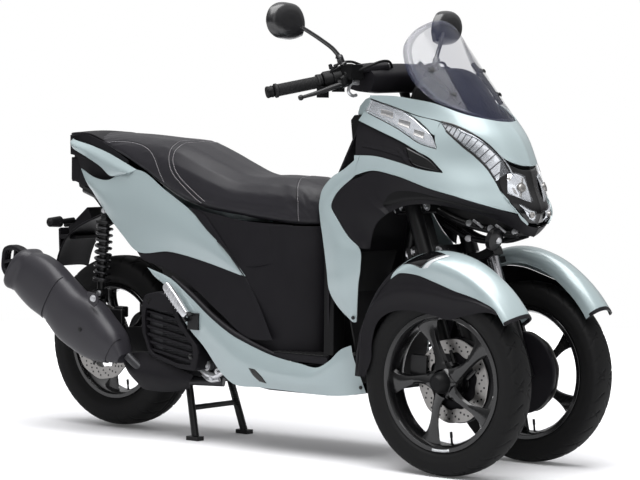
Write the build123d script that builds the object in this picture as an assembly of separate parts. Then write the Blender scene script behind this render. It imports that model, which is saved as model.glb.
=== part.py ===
from build123d import *
import math
import os

# Leaning three-wheel scooter: two front wheels on a parallelogram of arms, one driven rear wheel.
# +X forward, +Y to the vehicle's left, +Z up.  The origin lies on the floor, midway along its length.
# It stands on its centre stand, with the rear tyre just off the floor.  All sizes in millimetres.

# ---- wheels and stance
wheelbase = 1350
front_track = 385
front_axle_x = 740
front_tyre_radius = 250
front_tyre_width = 90
front_rim_radius = 178
rear_tyre_radius = 256
rear_tyre_width = 130
rear_rim_radius = 166
rear_lift = 5
tyre_gap = 9
rim_wall = 9
rim_lip = 8
spoke_count = 5
running_gap = 0.3

# ---- steering
rake = 20
fork_offset = 21.6
fork_spread = 42
fork_tube_radius = 16
slider_radius = 22
fork_y = 105
upright_radius = 22
steer_arm = 60
stem_radius = 13.7
bar_half_width = 366
bar_radius = 11
grip_radius = 17
grip_length = 130

# ---- body
wall = 4
floor_height = 285
seat_hinge_x = 235
seat_hinge_z = 650
bar_height = 1062
drawn_bar_height = 1062
reservoir_top = bar_height + 24

rear_axle_x = front_axle_x - wheelbase
rear_axle_z = rear_tyre_radius + rear_lift
wheel_y = front_track / 2
drawn_axles = (740, -610)
floor_stretch = wheelbase - (drawn_axles[0] - drawn_axles[1])
floor_rear_x = 0
floor_front_x = 330
bar_shift = (drawn_bar_height - bar_height) * math.tan(math.radians(rake))

parts = {}


def along(x):
    """Station x of the drawn outline; all that is behind the floor moves back when the floor grows."""
    share = min(1, max(0, (floor_front_x - x) / (floor_front_x - floor_rear_x)))
    return x + front_axle_x - drawn_axles[0] - floor_stretch * share


# ---- building blocks
def flat(points):
    """Face bounded by straight runs through points in space."""
    return Face(Wire.make_polygon([Vector(*point) for point in points], close=True))


def plate(outline, y_low, y_high):
    """Side outline of (x, z) points, drawn at y_low and thickened to y_high."""
    face = flat([(along(x), y_low, z) for x, z in outline])
    return Solid.extrude(face, Vector(0, y_high - y_low, 0))


def box(x, y, z):
    """Block between the pairs of limits x, y and z."""
    size = (x[1] - x[0], y[1] - y[0], z[1] - z[0])
    return Pos((x[0] + x[1]) / 2, (y[0] + y[1]) / 2, (z[0] + z[1]) / 2) * Box(*size)


def rod(start, end, radius):
    """Round bar between two points."""
    run = Vector(*end) - Vector(*start)
    return Solid.make_cylinder(radius, run.length, Plane(Vector(*start), z_dir=run))


def tube(points, radius, bend):
    """Round bar that follows points, its corners rounded by bend."""
    path = FilletPolyline(*[Vector(*point) for point in points], radius=bend)
    section = Plane(path @ 0, z_dir=path % 0) * Circle(radius)
    return sweep(section, path=path)


def hull(sections):
    """Solid whose flat sections are joined by straight lines, corner to corner."""
    wires = [Wire.make_polygon([Vector(*point) for point in section], close=True) for section in sections]
    return Solid.make_loft(wires, ruled=True)


def inset(line, depth):
    """Open line of (a, b) points moved sideways by depth, to its right, with mitred corners."""
    moved = []
    for index, (a, b) in enumerate(line):
        before = line[max(index - 1, 0)]
        after = line[min(index + 1, len(line) - 1)]
        one = Vector(a - before[0], b - before[1], 0)
        two = Vector(after[0] - a, after[1] - b, 0)
        one = (one if one.length else two).normalized()
        two = (two if two.length else one).normalized()
        mean = (one + two).normalized()
        reach = depth / max(mean.dot(one), 0.5)
        moved.append((a + mean.Y * reach, b - mean.X * reach))
    return moved


def skin(rows, shift):
    """Panel whose outer face passes through rows of points, and whose inner face is shifted from it."""
    outer = [[Vector(*point) for point in row] for row in rows]
    inner = [[point + Vector(*shift) for point in row] for row in outer]
    faces = []
    for grid in (outer, inner):
        for upper, lower in zip(grid, grid[1:]):
            for i in range(len(upper) - 1):
                faces.append(Face(Wire.make_polygon([upper[i], lower[i], lower[i + 1]], close=True)))
                faces.append(Face(Wire.make_polygon([upper[i], lower[i + 1], upper[i + 1]], close=True)))
    last_row = len(rows) - 1
    last = len(rows[0]) - 1
    border = [(0, i) for i in range(last)] + [(j, last) for j in range(last_row)]
    border += [(last_row, last - i) for i in range(last)] + [(last_row - j, 0) for j in range(last_row)]
    for (j, i), (n, m) in zip(border, border[1:] + border[:1]):
        corners = [outer[j][i], outer[n][m], inner[n][m], inner[j][i]]
        faces.append(Face(Wire.make_polygon(corners, close=True)))
    return Solid(Shell(faces))


def side_skin(rows, depth):
    """Left panel through rows of (x, y, z) stations, walled towards the middle, and its mirror image."""
    left = skin([[(along(x), y, z) for x, y, z in row] for row in rows], (0, -depth, 0))
    return pair(left)


def pair(left):
    """A left piece and its mirror image."""
    return Compound(children=[left, mirror(left, about=Plane.XZ)])


def around(stations):
    """Shell of level sections, each (z, [(x, y), ...]) from the middle of the front to the left rear edge."""
    sections = []
    for z, half in stations:
        line = [(along(x), y) for x, y in half]
        outer = [(x, -y) for x, y in reversed(line[1:])] + line
        inner = inset(outer, -wall)
        ring = [(x, y, z) for x, y in outer] + [(x, y, z) for x, y in reversed(inner)]
        sections.append(ring)
    return hull(sections)


def steer_plane(y, s):
    """Plane across a steering axis: its X points forward, its Z up the axis, s above the front axle."""
    lean = math.radians(rake)
    forward = Vector(math.cos(lean), 0, math.sin(lean))
    up = Vector(-math.sin(lean), 0, math.cos(lean))
    foot = Vector(front_axle_x, y, front_tyre_radius) - forward * fork_offset
    return Plane(foot + up * s, x_dir=forward, z_dir=up)


def steer_block(y, u, v, s):
    """Block in the steering plane of the axis at y: u forward, v to the left, s up the axis."""
    size = (u[1] - u[0], v[1] - v[0], s[1] - s[0])
    return steer_plane(y, 0) * Pos((u[0] + u[1]) / 2, (v[0] + v[1]) / 2, (s[0] + s[1]) / 2) * Box(*size)


def steer_rod(y, u, s, radius):
    """Round bar parallel to the steering axis at y, u ahead of it, between the pair of heights s."""
    plane = steer_plane(y, s[0])
    plane = plane.offset(0)
    plane.origin = plane.origin + plane.x_dir * u
    return Solid.make_cylinder(radius, s[1] - s[0], plane)


def cross_rod(x, z, y, radius):
    """Round bar across the vehicle between the pair of limits y."""
    return rod((x, y[0], z), (x, y[1], z), radius)


# ---- wheels
def wheel(name, x, y, z, tyre_radius, tyre_width, rim_radius, rim_half, hub, bore_radius):
    """Tyre and spoked rim turned about the axle at (x, y, z); hub is its pair of end offsets."""
    place = Pos(x, y, z) * Rot(90, 0, 0)
    half = tyre_width / 2
    shoulder = rim_radius + 0.52 * (tyre_radius - rim_radius)
    bead = rim_half - 4
    bore = Line((rim_radius, bead), (rim_radius, -bead))
    seat_radius = rim_radius + rim_lip + running_gap
    low = Polyline((rim_radius, -bead), (seat_radius, -bead), (shoulder, -half))
    tread = ThreePointArc((shoulder, -half), (tyre_radius, 0), (shoulder, half))
    high = Polyline((shoulder, half), (seat_radius, bead), (rim_radius, bead))
    outline = Plane.XZ * make_face([bore, low, tread, high])
    parts["tyre_" + name] = place * revolve(outline, Axis.Z)

    lip = rim_radius + rim_lip
    inside = rim_radius - rim_wall
    ring = [(inside, -rim_half), (lip, -rim_half), (lip, -bead - running_gap), (rim_radius, -bead - running_gap)]
    ring += [(rim_radius, bead + running_gap), (lip, bead + running_gap), (lip, rim_half), (inside, rim_half)]
    rim = revolve(Plane.XZ * make_face(Polyline(*ring, close=True)), Axis.Z)
    rim = rim + Pos(0, 0, (hub[0] + hub[1]) / 2 * -1) * Cylinder(38, hub[1] - hub[0])
    for index in range(spoke_count):
        spoke = Pos((inside + 34) / 2, 0, 0) * Box(inside - 30, 26, 22)
        rim = rim + Rot(0, 0, 360 / spoke_count * index + 18) * spoke
    if bore_radius:
        rim = rim - Cylinder(bore_radius, 400)
    parts["rim_" + name] = place * rim


def brake_disc(name, x, y, z, low, high, radius, hub_radius):
    """Brake disc on its five-armed carrier around the hub, between the offsets low and high from y."""
    disc = Cylinder(radius, high - low) - Cylinder(radius - 42, high - low)
    carrier = Cylinder(hub_radius + 10, high - low)
    for index in range(spoke_count):
        arm = Pos(radius / 2, 0, 0) * Box(radius - 80 + hub_radius, 18, high - low)
        carrier = carrier + Rot(0, 0, 72 * index) * arm
    carrier = carrier - Cylinder(hub_radius, 50)
    turned = Pos(x, y + (low + high) / 2, z) * Rot(90, 0, 0)
    parts["disc_" + name] = turned * (disc + (carrier & Cylinder(radius - 20, 50)))


hub_radius = 38
front_disc = (24, 28)
front_hub = (-38, 38)
front_axle_radius = 10
rear_hub = (-79.7, 79.7)
rear_disc = (88, 93)
disc_radius = 113

for name, side in (("left", 1), ("right", -1)):
    y = side * wheel_y
    wheel(name, front_axle_x, y, front_tyre_radius, front_tyre_radius, front_tyre_width,
          front_rim_radius, 36, front_hub, front_axle_radius + running_gap)
    low, high = sorted((-side * front_disc[0], -side * front_disc[1]))
    brake_disc(name, front_axle_x, y, front_tyre_radius, low, high, disc_radius, hub_radius)

swing_face = 98
wheel("rear", rear_axle_x, 0, rear_axle_z, rear_tyre_radius, rear_tyre_width,
      rear_rim_radius, 50, (-swing_face + running_gap, rear_hub[1]), 0)
brake_disc("rear", rear_axle_x, 0, rear_axle_z, -rear_disc[1], -rear_disc[0], disc_radius, hub_radius)

# ---- forks: two tubes in line, inboard of each front wheel
crown = (322, 344)
upright = (352, 520)
arm_level = (528, 540)
link_level = (543, 555)
pitman_level = (558, 570)
fender_mount = (302, 318)


def fork(side):
    """Left fork when side is 1, with its axle, brake caliper, steering stem and steering arm."""
    y = side * fork_y
    ahead = fork_offset + fork_spread
    behind = fork_offset - fork_spread
    inner = wheel_y - fork_y - front_tyre_width / 2
    body = steer_block(y, (behind, ahead), sorted((-side * 14, side * 14)), (-26, 34))
    for u in (ahead, behind):
        body = body + steer_rod(y, u, (-26, 186), slider_radius)
        body = body + steer_rod(y, u, (180, crown[0] + 8), fork_tube_radius)
    body = body + steer_block(y, (behind - 22, ahead + 22), (-22, 22), crown)
    body = body + steer_rod(y, 0, (crown[1] - 2, arm_level[1]), stem_radius)
    body = body + steer_block(y, (-18, steer_arm + 12), (-16, 16), arm_level)
    body = body + steer_rod(y, steer_arm, (arm_level[1] - 2, link_level[1]), 5)
    axle_end = wheel_y + front_hub[1] + 12
    reach_out = sorted((side * fork_y, side * axle_end))
    axle = cross_rod(front_axle_x, front_tyre_radius, reach_out, front_axle_radius)
    boss_end = wheel_y - front_hub[1] - running_gap
    boss = cross_rod(front_axle_x, front_tyre_radius, sorted((side * fork_y, side * boss_end)), 24)
    nut_from = wheel_y + front_hub[1] + running_gap
    nut = cross_rod(front_axle_x, front_tyre_radius, sorted((side * nut_from, side * axle_end)), 16)
    body = body + axle + boss + nut
    reach = wheel_y - 46 - fork_y
    body = body + steer_block(y, (40, 75), sorted((0, side * reach)), fender_mount)
    return body + caliper(side)


def caliper(side):
    """Caliper behind the axle that bridges the disc, on an arm from the slider."""
    near = wheel_y - front_disc[1]
    far = wheel_y - front_disc[0]
    x = front_axle_x
    z = (front_tyre_radius - 4, front_tyre_radius + 62)
    whole = box((x - 104, x - 84), (fork_y, near - 1), z)
    whole = whole + box((x - 134, x - 72), (near - 20, near - 1), z)
    whole = whole + box((x - 134, x - 118), (near - 20, far + 9), z)
    whole = whole + box((x - 134, x - 82), (far + 1, far + 9), z)
    whole = whole + box((x - 104, x - 20), (fork_y, fork_y + 18), (front_tyre_radius + 4, front_tyre_radius + 40))
    return whole if side > 0 else mirror(whole, about=Plane.XZ)


for name, side in (("left", 1), ("right", -1)):
    parts["fork_" + name] = fork(side)

# ---- fenders: sections across the front tyre, by angle from straight back over the top
# angle, crown radius, seam radius, skirt radius
fender_table = (
    (0, 292, 292, 232),
    (20, 300, 300, 224),
    (40, 316, 284, 214),
    (60, 338, 268, 200),
    (80, 346, 250, 180),
    (100, 336, 244, 178),
    (120, 320, 258, 226),
    (132, 314, 274, 262),
    (142, 308, 282, 278),
)
fender_inner = 46
fender_outer = 58


def fender_section(angle, line, side):
    """Section of (offset from the wheel's middle, radius) points, turned to its angle."""
    turn = math.radians(angle)
    ring = line + list(reversed(inset(line, wall)))
    out = []
    for offset, radius in ring:
        x = front_axle_x - radius * math.cos(turn)
        z = front_tyre_radius + radius * math.sin(turn)
        out.append((x, side * (wheel_y + offset), z))
    return out


def crown_line(crown_radius, low):
    """Fender's cross-section from its inboard flange over the crown to the radius low outboard."""
    line = [(-fender_inner, crown_radius - 45), (-fender_inner, crown_radius - 14), (-28, crown_radius - 3)]
    line += [(6, crown_radius), (38, crown_radius - 6), (fender_outer, crown_radius - 24)]
    return line + [(fender_outer - 2, low)]


for name, side in (("left", 1), ("right", -1)):
    upper = [fender_section(a, crown_line(c, seam), side) for a, c, seam, low in fender_table if a >= 40]
    rear = [fender_section(a, crown_line(c, low), side) for a, c, seam, low in fender_table if a <= 40]
    lower = []
    for a, c, seam, low in fender_table:
        if 40 <= a <= 132:
            lower.append(fender_section(a, [(fender_outer - 2, seam - 0.5), (fender_outer - 4, low)], side))
    parts["fender_" + name] = hull(upper)
    parts["fender_skirt_" + name] = hull(rear) + hull(lower)

# ---- parallelogram of arms with the two uprights that hold the fork stems
arm_levels = (372, 500)
arm_depth = (-45, -31)


def lean_arms():
    """Upper and lower arm with the uprights; each upright is bored for its fork stem."""
    body = None
    for s in arm_levels:
        bar = steer_block(0, arm_depth, (-fork_y - 20, fork_y + 20), (s - 16, s + 16))
        body = bar if body is None else body + bar
    for side in (1, -1):
        y = side * fork_y
        body = body + steer_rod(y, 0, upright, upright_radius)
        for s in arm_levels:
            body = body + steer_block(y, (arm_depth[1] - 1, 0), (-14, 14), (s - 14, s + 14))
        body = body - steer_rod(y, 0, (upright[0] - 1, upright[1] + 1), stem_radius + running_gap)
    return body


parts["lean_arms"] = lean_arms()

tie_rod = steer_block(0, (steer_arm - 9, steer_arm + 9), (-fork_y - 13, fork_y + 13), link_level)
for y in (-fork_y, 0, fork_y):
    tie_rod = tie_rod - steer_rod(y, steer_arm, (link_level[0] - 1, link_level[1] + 1), 5.5)
parts["tie_rod"] = tie_rod

# ---- frame
shock_top = (along(-593), 655)
shock_foot = (along(-612), 408)
shock_face = 95.7
shock_y = 103.5
foot_height = steer_plane(0, 0).origin.Z
column_top = (bar_height - 9 - foot_height) / math.cos(math.radians(rake))
stem_showing = 92.3965
head = (600, column_top - stem_showing)
rail_radius = 12
rail_y = 118
hanger_x = -70


def frame():
    """Head tube, arm carrier, down tube, floor rails, seat rails and cross tubes."""
    carrier = steer_block(0, (arm_depth[0] - 34, arm_depth[0]), (-30, 30), (352, 520))
    neck = steer_plane(0, head[0] + 90)
    top = neck.origin - neck.x_dir * 20
    back = steer_plane(0, 500)
    foot = back.origin + back.x_dir * (arm_depth[0] - 25)
    body = carrier + rod(foot, top, 20)
    body = body + steer_rod(0, 0, head, 26)
    stay = steer_plane(0, head[1] - 30)
    body = body + rod(stay.origin, (along(615), 0, 906), 8)
    body = body + box((along(590), along(640)), (-30, 30), (898, 930 - running_gap))
    down = [foot, Vector(along(455), 0, 500), Vector(along(385), 0, 400), Vector(along(362), 0, 300)]
    down.append(Vector(along(325), 0, 225))
    body = body + tube(down, 19, 30)
    for side in (1, -1):
        y = side * rail_y
        rail = [(along(325), 0, 225), (along(290), y, 225), (along(0), y, 225), (along(-38), y, 330)]
        rail += [(along(-62), y, 540), (along(-300), y, 600), (along(-700), side * 80, 715)]
        body = body + tube(rail, rail_radius, 25)
        lug = box((shock_top[0] - 12, shock_top[0] + 12), sorted((side * 80, side * shock_face)), (642, 690))
        body = body + lug
        pad_top = floor_height - 18 - running_gap
        body = body + box((along(150), along(180)), sorted((side * 106, side * 130)), (225, pad_top))
    body = body + box((along(-650), along(-630)), (-20, 20), (648.3, 696))
    for x, z, reach in ((0, 225, rail_y), (-300, 600, rail_y), (-640, 698, 84)):
        body = body + cross_rod(along(x), z, (-reach, reach), 9)
    body = body + cross_rod(along(-45), 320, (-rail_y, rail_y), 10)
    body = body + box((along(hanger_x), along(-45)), (-40, 40), (300, 340))
    bracket = box((along(-36), along(14)), (rail_y, 152), (200, 226))
    body = body + bracket
    return body - steer_rod(0, 0, (head[0] - 1, head[1] + 1), stem_radius + running_gap)


parts["frame"] = frame()

# ---- front body
intake_top = ((405, 194, 935), (480, 188, 925), (560, 184, 900), (640, 172, 860), (705, 180, 800))
intake_low = ((430, 209, 842), (500, 207, 836), (580, 202, 826), (650, 190, 810), (706, 181, 795))
intake_edge = [(x, z) for x, y, z in intake_top] + [(x, z) for x, y, z in reversed(intake_low)]
# height, middle of the front, front corner, back, half width
lamp_table = (
    (688, 911, 886, 852, 60),
    (735, 893, 866, 830, 65),
    (800, 864, 836, 808, 50),
)


def lamp_body(gap, proud):
    """Headlamp block; with a gap and standing proud it is the hole that the lamp sits in."""
    sections = []
    for index, (z, nose, corner, back, half) in enumerate(lamp_table):
        level = z + (gap if index == len(lamp_table) - 1 else -gap if index == 0 else 0)
        side = half + gap
        ring = [(back - gap, -side), (corner + proud, -side), (nose + proud, 0), (corner + proud, side)]
        ring.append((back - gap, side))
        sections.append([(along(x), y, level) for x, y in ring])
    return hull(sections)


lamp_hole = lamp_body(running_gap, 40)

parts["front_cowl"] = around((
    (700, ((905, 0), (890, 62), (835, 115), (745, 172), (600, 200), (470, 212))),
    (760, ((884, 0), (866, 66), (790, 130), (705, 178), (585, 202), (440, 214))),
    (830, ((862, 0), (838, 66), (752, 128), (668, 176), (560, 198), (430, 208))),
    (900, ((825, 0), (806, 64), (748, 124), (668, 164), (560, 182), (420, 192))),
    (960, ((768, 0), (757, 60), (719, 112), (668, 148), (560, 168), (430, 180))),
    (1000, ((735, 0), (726, 60), (690, 112), (640, 150), (545, 168), (440, 176))),
)) & plate(((940, 688), (845, 712), (700, 744), (560, 770), (470, 782), (380, 800), (380, 1010),
            (600, 1000), (655.6, 987.7), (717.6, 961.7), (768, 937.7), (790, 924), (880, 850), (940, 720)), -260, 260)

parts["nose_trim"] = around((
    (640, ((884, 0), (868, 60), (820, 105), (740, 155), (600, 188), (470, 210))),
    (699, ((903, 0), (888, 61), (833, 114), (743, 171), (600, 199), (470, 211))),
    (780, ((876, 0), (856, 64), (780, 128), (698, 176), (580, 200), (438, 212))),
)) & plate(((940, 600), (880, 640), (820, 668), (650, 706), (560, 700), (470, 630), (455, 600),
            (440, 620), (455, 700), (470, 781.7), (560, 769.7), (700, 743.7), (845, 711.7), (940, 687.7)), -260, 260)

parts["leg_shields"] = side_skin((
    ((395, 213, 796.7), (430, 212, 789.7), (466, 211, 782.5)),
    ((329, 221, 745), (352, 224, 738), (378, 222, 730)),
    ((323, 221, 677), (344, 225, 684), (366, 223, 698)),
    ((338, 219, 582), (392, 226, 590), (448, 218, 600)),
    ((353, 215, 474), (404, 222, 486), (452, 214, 500)),
    ((385, 208, 421), (414, 212, 424), (444, 207, 430)),
    ((424, 201, 386), (430, 201, 386), (438, 200, 388)),
), wall)

leg_stations = [(325, 184, floor_height + running_gap), (332, 196, 470), (344, 220.6, 690)]
leg_stations += [(372, 206, 790), (425, 176, 935)]
parts["leg_panel"] = hull([
    [(along(x), -y, z), (along(x), y, z), (along(x + 6), y, z), (along(x + 6), -y, z)]
    for x, y, z in leg_stations
])

arch_liner = hull([
    [(along(x), -y, z), (along(x), y, z), (along(x + 5), y, z), (along(x + 5), -y, z)]
    for x, y, z in ((405, 152, 215), (402, 166, 330), (404, 209.5, 470), (440, 213.5, 580))
]) - box((along(330), along(520)), (-32, 32), (380, 620))
parts["arch_liner"] = arch_liner - box((along(330), along(520)), (-26, 26), (200, 381))

screen_radius = 170
screen_wall = 3.5
screen_foot = (along(790), 925)
screen_top = (along(555), 1212)


def leaning_shell(outer_radius, inner_radius):
    """Front half of a leaning pipe, from the screen's foot to its top."""
    centre = screen_foot[0] - screen_radius
    base = Rectangle(3 * screen_radius, 3 * screen_radius, align=(Align.MIN, Align.CENTER)) & (
        Circle(outer_radius) - Circle(inner_radius)
    )
    lean = Vector(screen_top[0] - screen_foot[0], 0, screen_top[1] - screen_foot[1])
    return Solid.extrude((Pos(centre, 0, screen_foot[1]) * base).faces()[0], lean)


def windscreen():
    """Clear screen: a slice of leaning shell, cut to its outline seen from the front."""
    half = [(60, 938), (112, 962), (146, 988), (157, 1030), (152, 1093), (137, 1140), (108, 1172)]
    half += [(60, 1195), (0, 1208)]
    outline = [(-y, z) for y, z in half] + [(y, z) for y, z in reversed(half[:-1])]
    front = flat([(along(300), y, z) for y, z in outline])
    return leaning_shell(screen_radius, screen_radius - screen_wall) & Solid.extrude(front, Vector(700, 0, 0))


parts["windscreen"] = windscreen()
screen_slot = leaning_shell(screen_radius + running_gap, screen_radius - screen_wall - running_gap)
parts["front_cowl"] = parts["front_cowl"] - screen_slot

instrument_outline = ((570, 958), (585, 975), (640, 985), (700, 950), (690, 930), (580, 930))
parts["instrument_panel"] = plate(instrument_outline, -75, 75)

parts["front_lamps"] = lamp_body(0, 0)
parts["front_cowl"] = parts["front_cowl"] - lamp_hole - plate(intake_edge, -260, 260)
parts["nose_trim"] = parts["nose_trim"] - lamp_hole

parts["intake_panels"] = side_skin((intake_top, intake_low), wall)

# ---- floor and lower sides
parts["floorboard"] = (
    box((along(120), along(332)), (-193.3, 193.3), (floor_height - 18, floor_height))
    - box((along(318), along(340)), (-25, 25), (floor_height - 20, floor_height + 2))
)
parts["belly_pan"] = hull([
    [(along(x), -y, z), (along(x), y, z), (along(x), y, z + 6), (along(x), -y, z + 6)]
    for x, y, z in ((-30, 138, 186), (120, 185.7, 180), (330, 185.7, 180), (404, 160, 186))
])
parts["side_skirts"] = side_skin((
    ((-367, 165, 499), (-270, 172, 472), (-185, 180, 423), (-89, 188, 363), (55, 195, 302), (140, 198, 278),
     (239, 198, 264), (303, 198, 258), (344, 198, 282), (378, 189, 314), (402, 177, 322)),
    ((-345, 168, 484), (-258, 177, 448), (-200, 182, 395), (-112, 187, 325), (10, 198, 262), (90, 200, 232),
     (190, 201, 224), (275, 201, 222), (336, 197, 232), (380, 186, 256), (412, 166, 262)),
    ((-303, 166, 456), (-232, 174, 414), (-205, 180, 356), (-125, 182, 280), (-50, 184, 206), (-16, 188, 188),
     (120, 190, 184), (235, 192, 183), (330, 190, 181), (392, 180, 185), (436, 152, 193)),
), wall)

# ---- rear body
parts["seat_cover"] = around((
    (floor_height + running_gap, ((262, 0), (252, 105), (170, 145), (40, 180))),
    (470, ((262, 0), (254, 96), (180, 140), (12, 168))),
    (637.7, ((238, 0), (226, 90), (150, 126), (-150, 148))),
)) & plate(((300, 280), (110, 280), (66, 310), (52, 400), (14, 493), (-64, 568), (-150, 645),
            (300, 645)), -260, 260)

parts["side_panels"] = side_skin((
    ((-436, 138, 545.4), (-291, 148.6, 546.5), (-148, 156.6, 524.5), (5, 166, 490.2), (40, 170, 400)),
    ((-400, 150, 520), (-262, 160, 484), (-170, 168, 440), (-75, 178, 384), (50, 182, 318)),
), wall)

parts["tail_cowl"] = side_skin((
    ((-700, 105, 778), (-554, 119, 752), (-440, 132, 758), (-316, 145, 710), (-179, 155, 648),
     (-69, 162, 566), (8, 168, 494)),
    ((-670, 108, 740), (-570, 122, 690), (-450, 138, 660), (-310, 150, 630), (-170, 158, 585),
     (-70, 164, 530), (8, 168, 492)),
    ((-640, 106, 706), (-541, 124, 623), (-438, 138, 546), (-291, 149, 547), (-148, 157, 525),
     (-69, 162, 508), (8, 167, 490)),
), wall)

grab_left = [(-762, 50, 858), (-728, 106, 852), (-600, 130, 822), (-432, 143, 776)]
grab_line = [(along(x), -y, z) for x, y, z in reversed(grab_left)] + [(along(x), y, z) for x, y, z in grab_left]
grab = tube(grab_line, 12, 20)
for side in (1, -1):
    grab = grab + box((along(-462), along(-432)), sorted((side * 126, side * 152)), (758.3, 774))
parts["grab_rail"] = grab

parts["tail_housing"] = hull([
    [(along(x), -y, low), (along(x), y, low), (along(x), y, high), (along(x), -y, high)]
    for x, y, low, high in ((-560, 94, 692, 740), (-660, 92, 716.8, 792), (-740, 86, 739.5, 812))
])
parts["rear_lamps"] = plate(((-740.3, 745), (-740.3, 806), (-762, 800), (-756, 750)), -84, 84)

mudguard = [(-560, 668), (-700, 628), (-792, 574), (-838, 478)]
under = [(-834, 476), (-788, 568), (-698, 620), (-560, 660)]
plate_bracket = box((along(-844), along(-836)), (-62, 62), (470, 590))
plate_bracket = plate_bracket + box((along(-840), along(-770)), (-62, 62), (562, 570))
for y in (-40, 40):
    plate_bracket = plate_bracket - rod((along(-850), y, 556), (along(-830), y, 556), 3.25)
parts["rear_fender"] = plate(mudguard + under, -72, 72) + plate_bracket

box_half = rail_y - rail_radius - running_gap
parts["luggage_box"] = (
    box((along(-215), along(150)), (-box_half, box_half), (448, 632))
    - box((along(-215 + wall), along(150 - wall)), (wall - box_half, box_half - wall), (448 + wall, 640))
)

# ---- seat: level-bottomed sections from front to rear
# station x, half width, underside z, top z
seat_table = (
    (238, 60, 656, 716),
    (222, 96, 640, 738),
    (167, 122, 638, 764),
    (70, 138, 646, 773),
    (-70, 147, 662, 776),
    (-155, 151, 672, 806),
    (-243, 151, 694, 842),
    (-313, 147, 722, 866),
    (-425, 134, 778, 874),
    (-587, 117, 848, 882),
    (-690, 88, 862, 884),
)


def seat():
    """One-piece seat with a step up to the passenger's part."""
    sections = []
    for x, half, low, high in seat_table:
        height = high - low
        ring = [(half - 6, low), (half, low + 0.35 * height), (half * 0.9, high - 0.2 * height)]
        ring += [(half * 0.62, high - 0.04 * height), (0, high)]
        points = [(-y, z) for y, z in ring[:4]] + [(0, high)] + [(y, z) for y, z in reversed(ring[:4])]
        sections.append([(along(x), y, z) for y, z in points])
    return hull(sections)


parts["seat"] = seat()

# ---- engine unit, exhaust and rear suspension
engine_low = 190
engine_rear = rear_axle_x + rear_tyre_radius + tyre_gap
parts["engine_block"] = box((engine_rear, along(hanger_x)), (-120, 80), (engine_low, 430))
stand_x = along(-270)
stand_z = 175
for side in (1, -1):
    lug = box((stand_x - 20, stand_x + 20), sorted((side * 58, side * 68)), (stand_z - 18, engine_low))
    lug = lug - cross_rod(stand_x, stand_z, (-90, 90), 9 + running_gap)
    parts["engine_block"] = parts["engine_block"] + lug

case = [(-95, 250), (-130, 205), (-240, 195), (-420, 205), (-600, 196), (-660, 225), (-672, 275)]
case += [(-650, 325), (-600, 350), (-420, 372), (-240, 400), (-130, 380), (-95, 320)]
foot_x = (shock_foot[0] - 12, shock_foot[0] + 12)
parts["cvt_case"] = plate(case, 80, 160) + box(foot_x, (82, shock_face), (330, 420))

arm = [(-345, 330), (-345, 250), (-560, 225), (-640, 236), (-648, 290), (-628, 390), (-596, 390), (-575, 310)]
parts["swing_arm"] = (
    plate(arm, -swing_face - 10, -swing_face)
    + box(foot_x, (-swing_face - 10, -82), (380, 390))
    + box(foot_x, (-shock_face, -82), (380, 420))
)

radiator = [(-372, 374), (-360, 420), (-301, 434), (-247, 405), (-214, 350), (-150, 284)]
radiator += [(-164, 208), (-222, 214), (-339, 245), (-368, 310)]
parts["radiator_cover"] = plate(radiator, -186, -120 - running_gap)

muffler = [(-990, 506), (-972, 540), (-866, 540), (-738, 512), (-604, 504), (-480, 420), (-388, 304)]
muffler += [(-398, 244), (-470, 216), (-545, 212), (-700, 303), (-878, 440), (-968, 484)]
parts["exhaust"] = plate(muffler, -252, -148)
pipe = tube([(along(-150), -70, 174), (along(-330), -162, 174), (along(-440), -192, 240)], 13, 30)
pipe = pipe + box((along(-172), along(-128)), (-92, -48), (170, engine_low))
parts["exhaust"] = parts["exhaust"] + pipe


def shock(side):
    """Coil-over damper between its two eyes."""
    y = side * shock_y
    foot = Vector(shock_foot[0], y, shock_foot[1])
    top = Vector(shock_top[0], y, shock_top[1])
    body = rod(foot, top, 7) + rod(foot + (top - foot) * 0.1, foot + (top - foot) * 0.88, 20)
    for x, z in (shock_foot, shock_top):
        body = body + cross_rod(x, z, sorted((side * (shock_face + running_gap), side * 111)), 13)
    return body


parts["rear_shocks"] = Compound(children=[shock(1), shock(-1)])

# ---- stands and pegs
stand = cross_rod(stand_x, stand_z, (-98, 98), 9)
for side in (1, -1):
    foot = (stand_x + 45, side * 108, 11)
    stand = stand + rod((stand_x, side * 90, stand_z), foot, 11)
    stand = stand + box((foot[0] - 22, foot[0] + 22), sorted((side * 96, side * 124)), (0, 12))
stand = stand + rod((stand_x + 22, -97, 92), (stand_x + 22, 97, 92), 8)
parts["centre_stand"] = stand

side_x = along(-10)
parts["side_stand"] = (
    cross_rod(side_x, 190, (152.3, 176), 13)
    + rod((side_x, 168, 190), (side_x - 175, 175, 176), 9)
    + box((side_x - 195, side_x - 160), (160, 192), (166, 174))
)

peg_foot = (along(-179), 371)
for name, side in (("left", 1), ("right", -1)):
    low = Plane((peg_foot[0], side * 203, peg_foot[1]), x_dir=(0.69, 0, -0.72), z_dir=(0, side, 0))
    parts["peg_" + name] = low * Pos(-60, 0, 0) * Box(120, 30, 18)
peg_bracket = box((peg_foot[0] - 4, peg_foot[0] + 36), (185.6, 193.7), (peg_foot[1] - 40, peg_foot[1] + 8))
parts["peg_brackets"] = pair(peg_bracket)

# ---- handlebar
# station x, y and height above the middle of the bar
bar_route = ((438, 0, 0), (430, 75, 0), (385, 205, -10), (274, bar_half_width, -50))
clamp = (bar_height - 22, bar_height + 18)


def on_bar(side, points):
    """Points (station x, y, height above the bar) set to one side of the handlebar."""
    return [(along(x) + bar_shift, side * y, bar_height + rise) for x, y, rise in points]


def bar_box(x, y, z):
    """Block whose pair of stations x moves with the handlebar."""
    return box((along(x[0]) + bar_shift, along(x[1]) + bar_shift), y, z)


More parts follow.
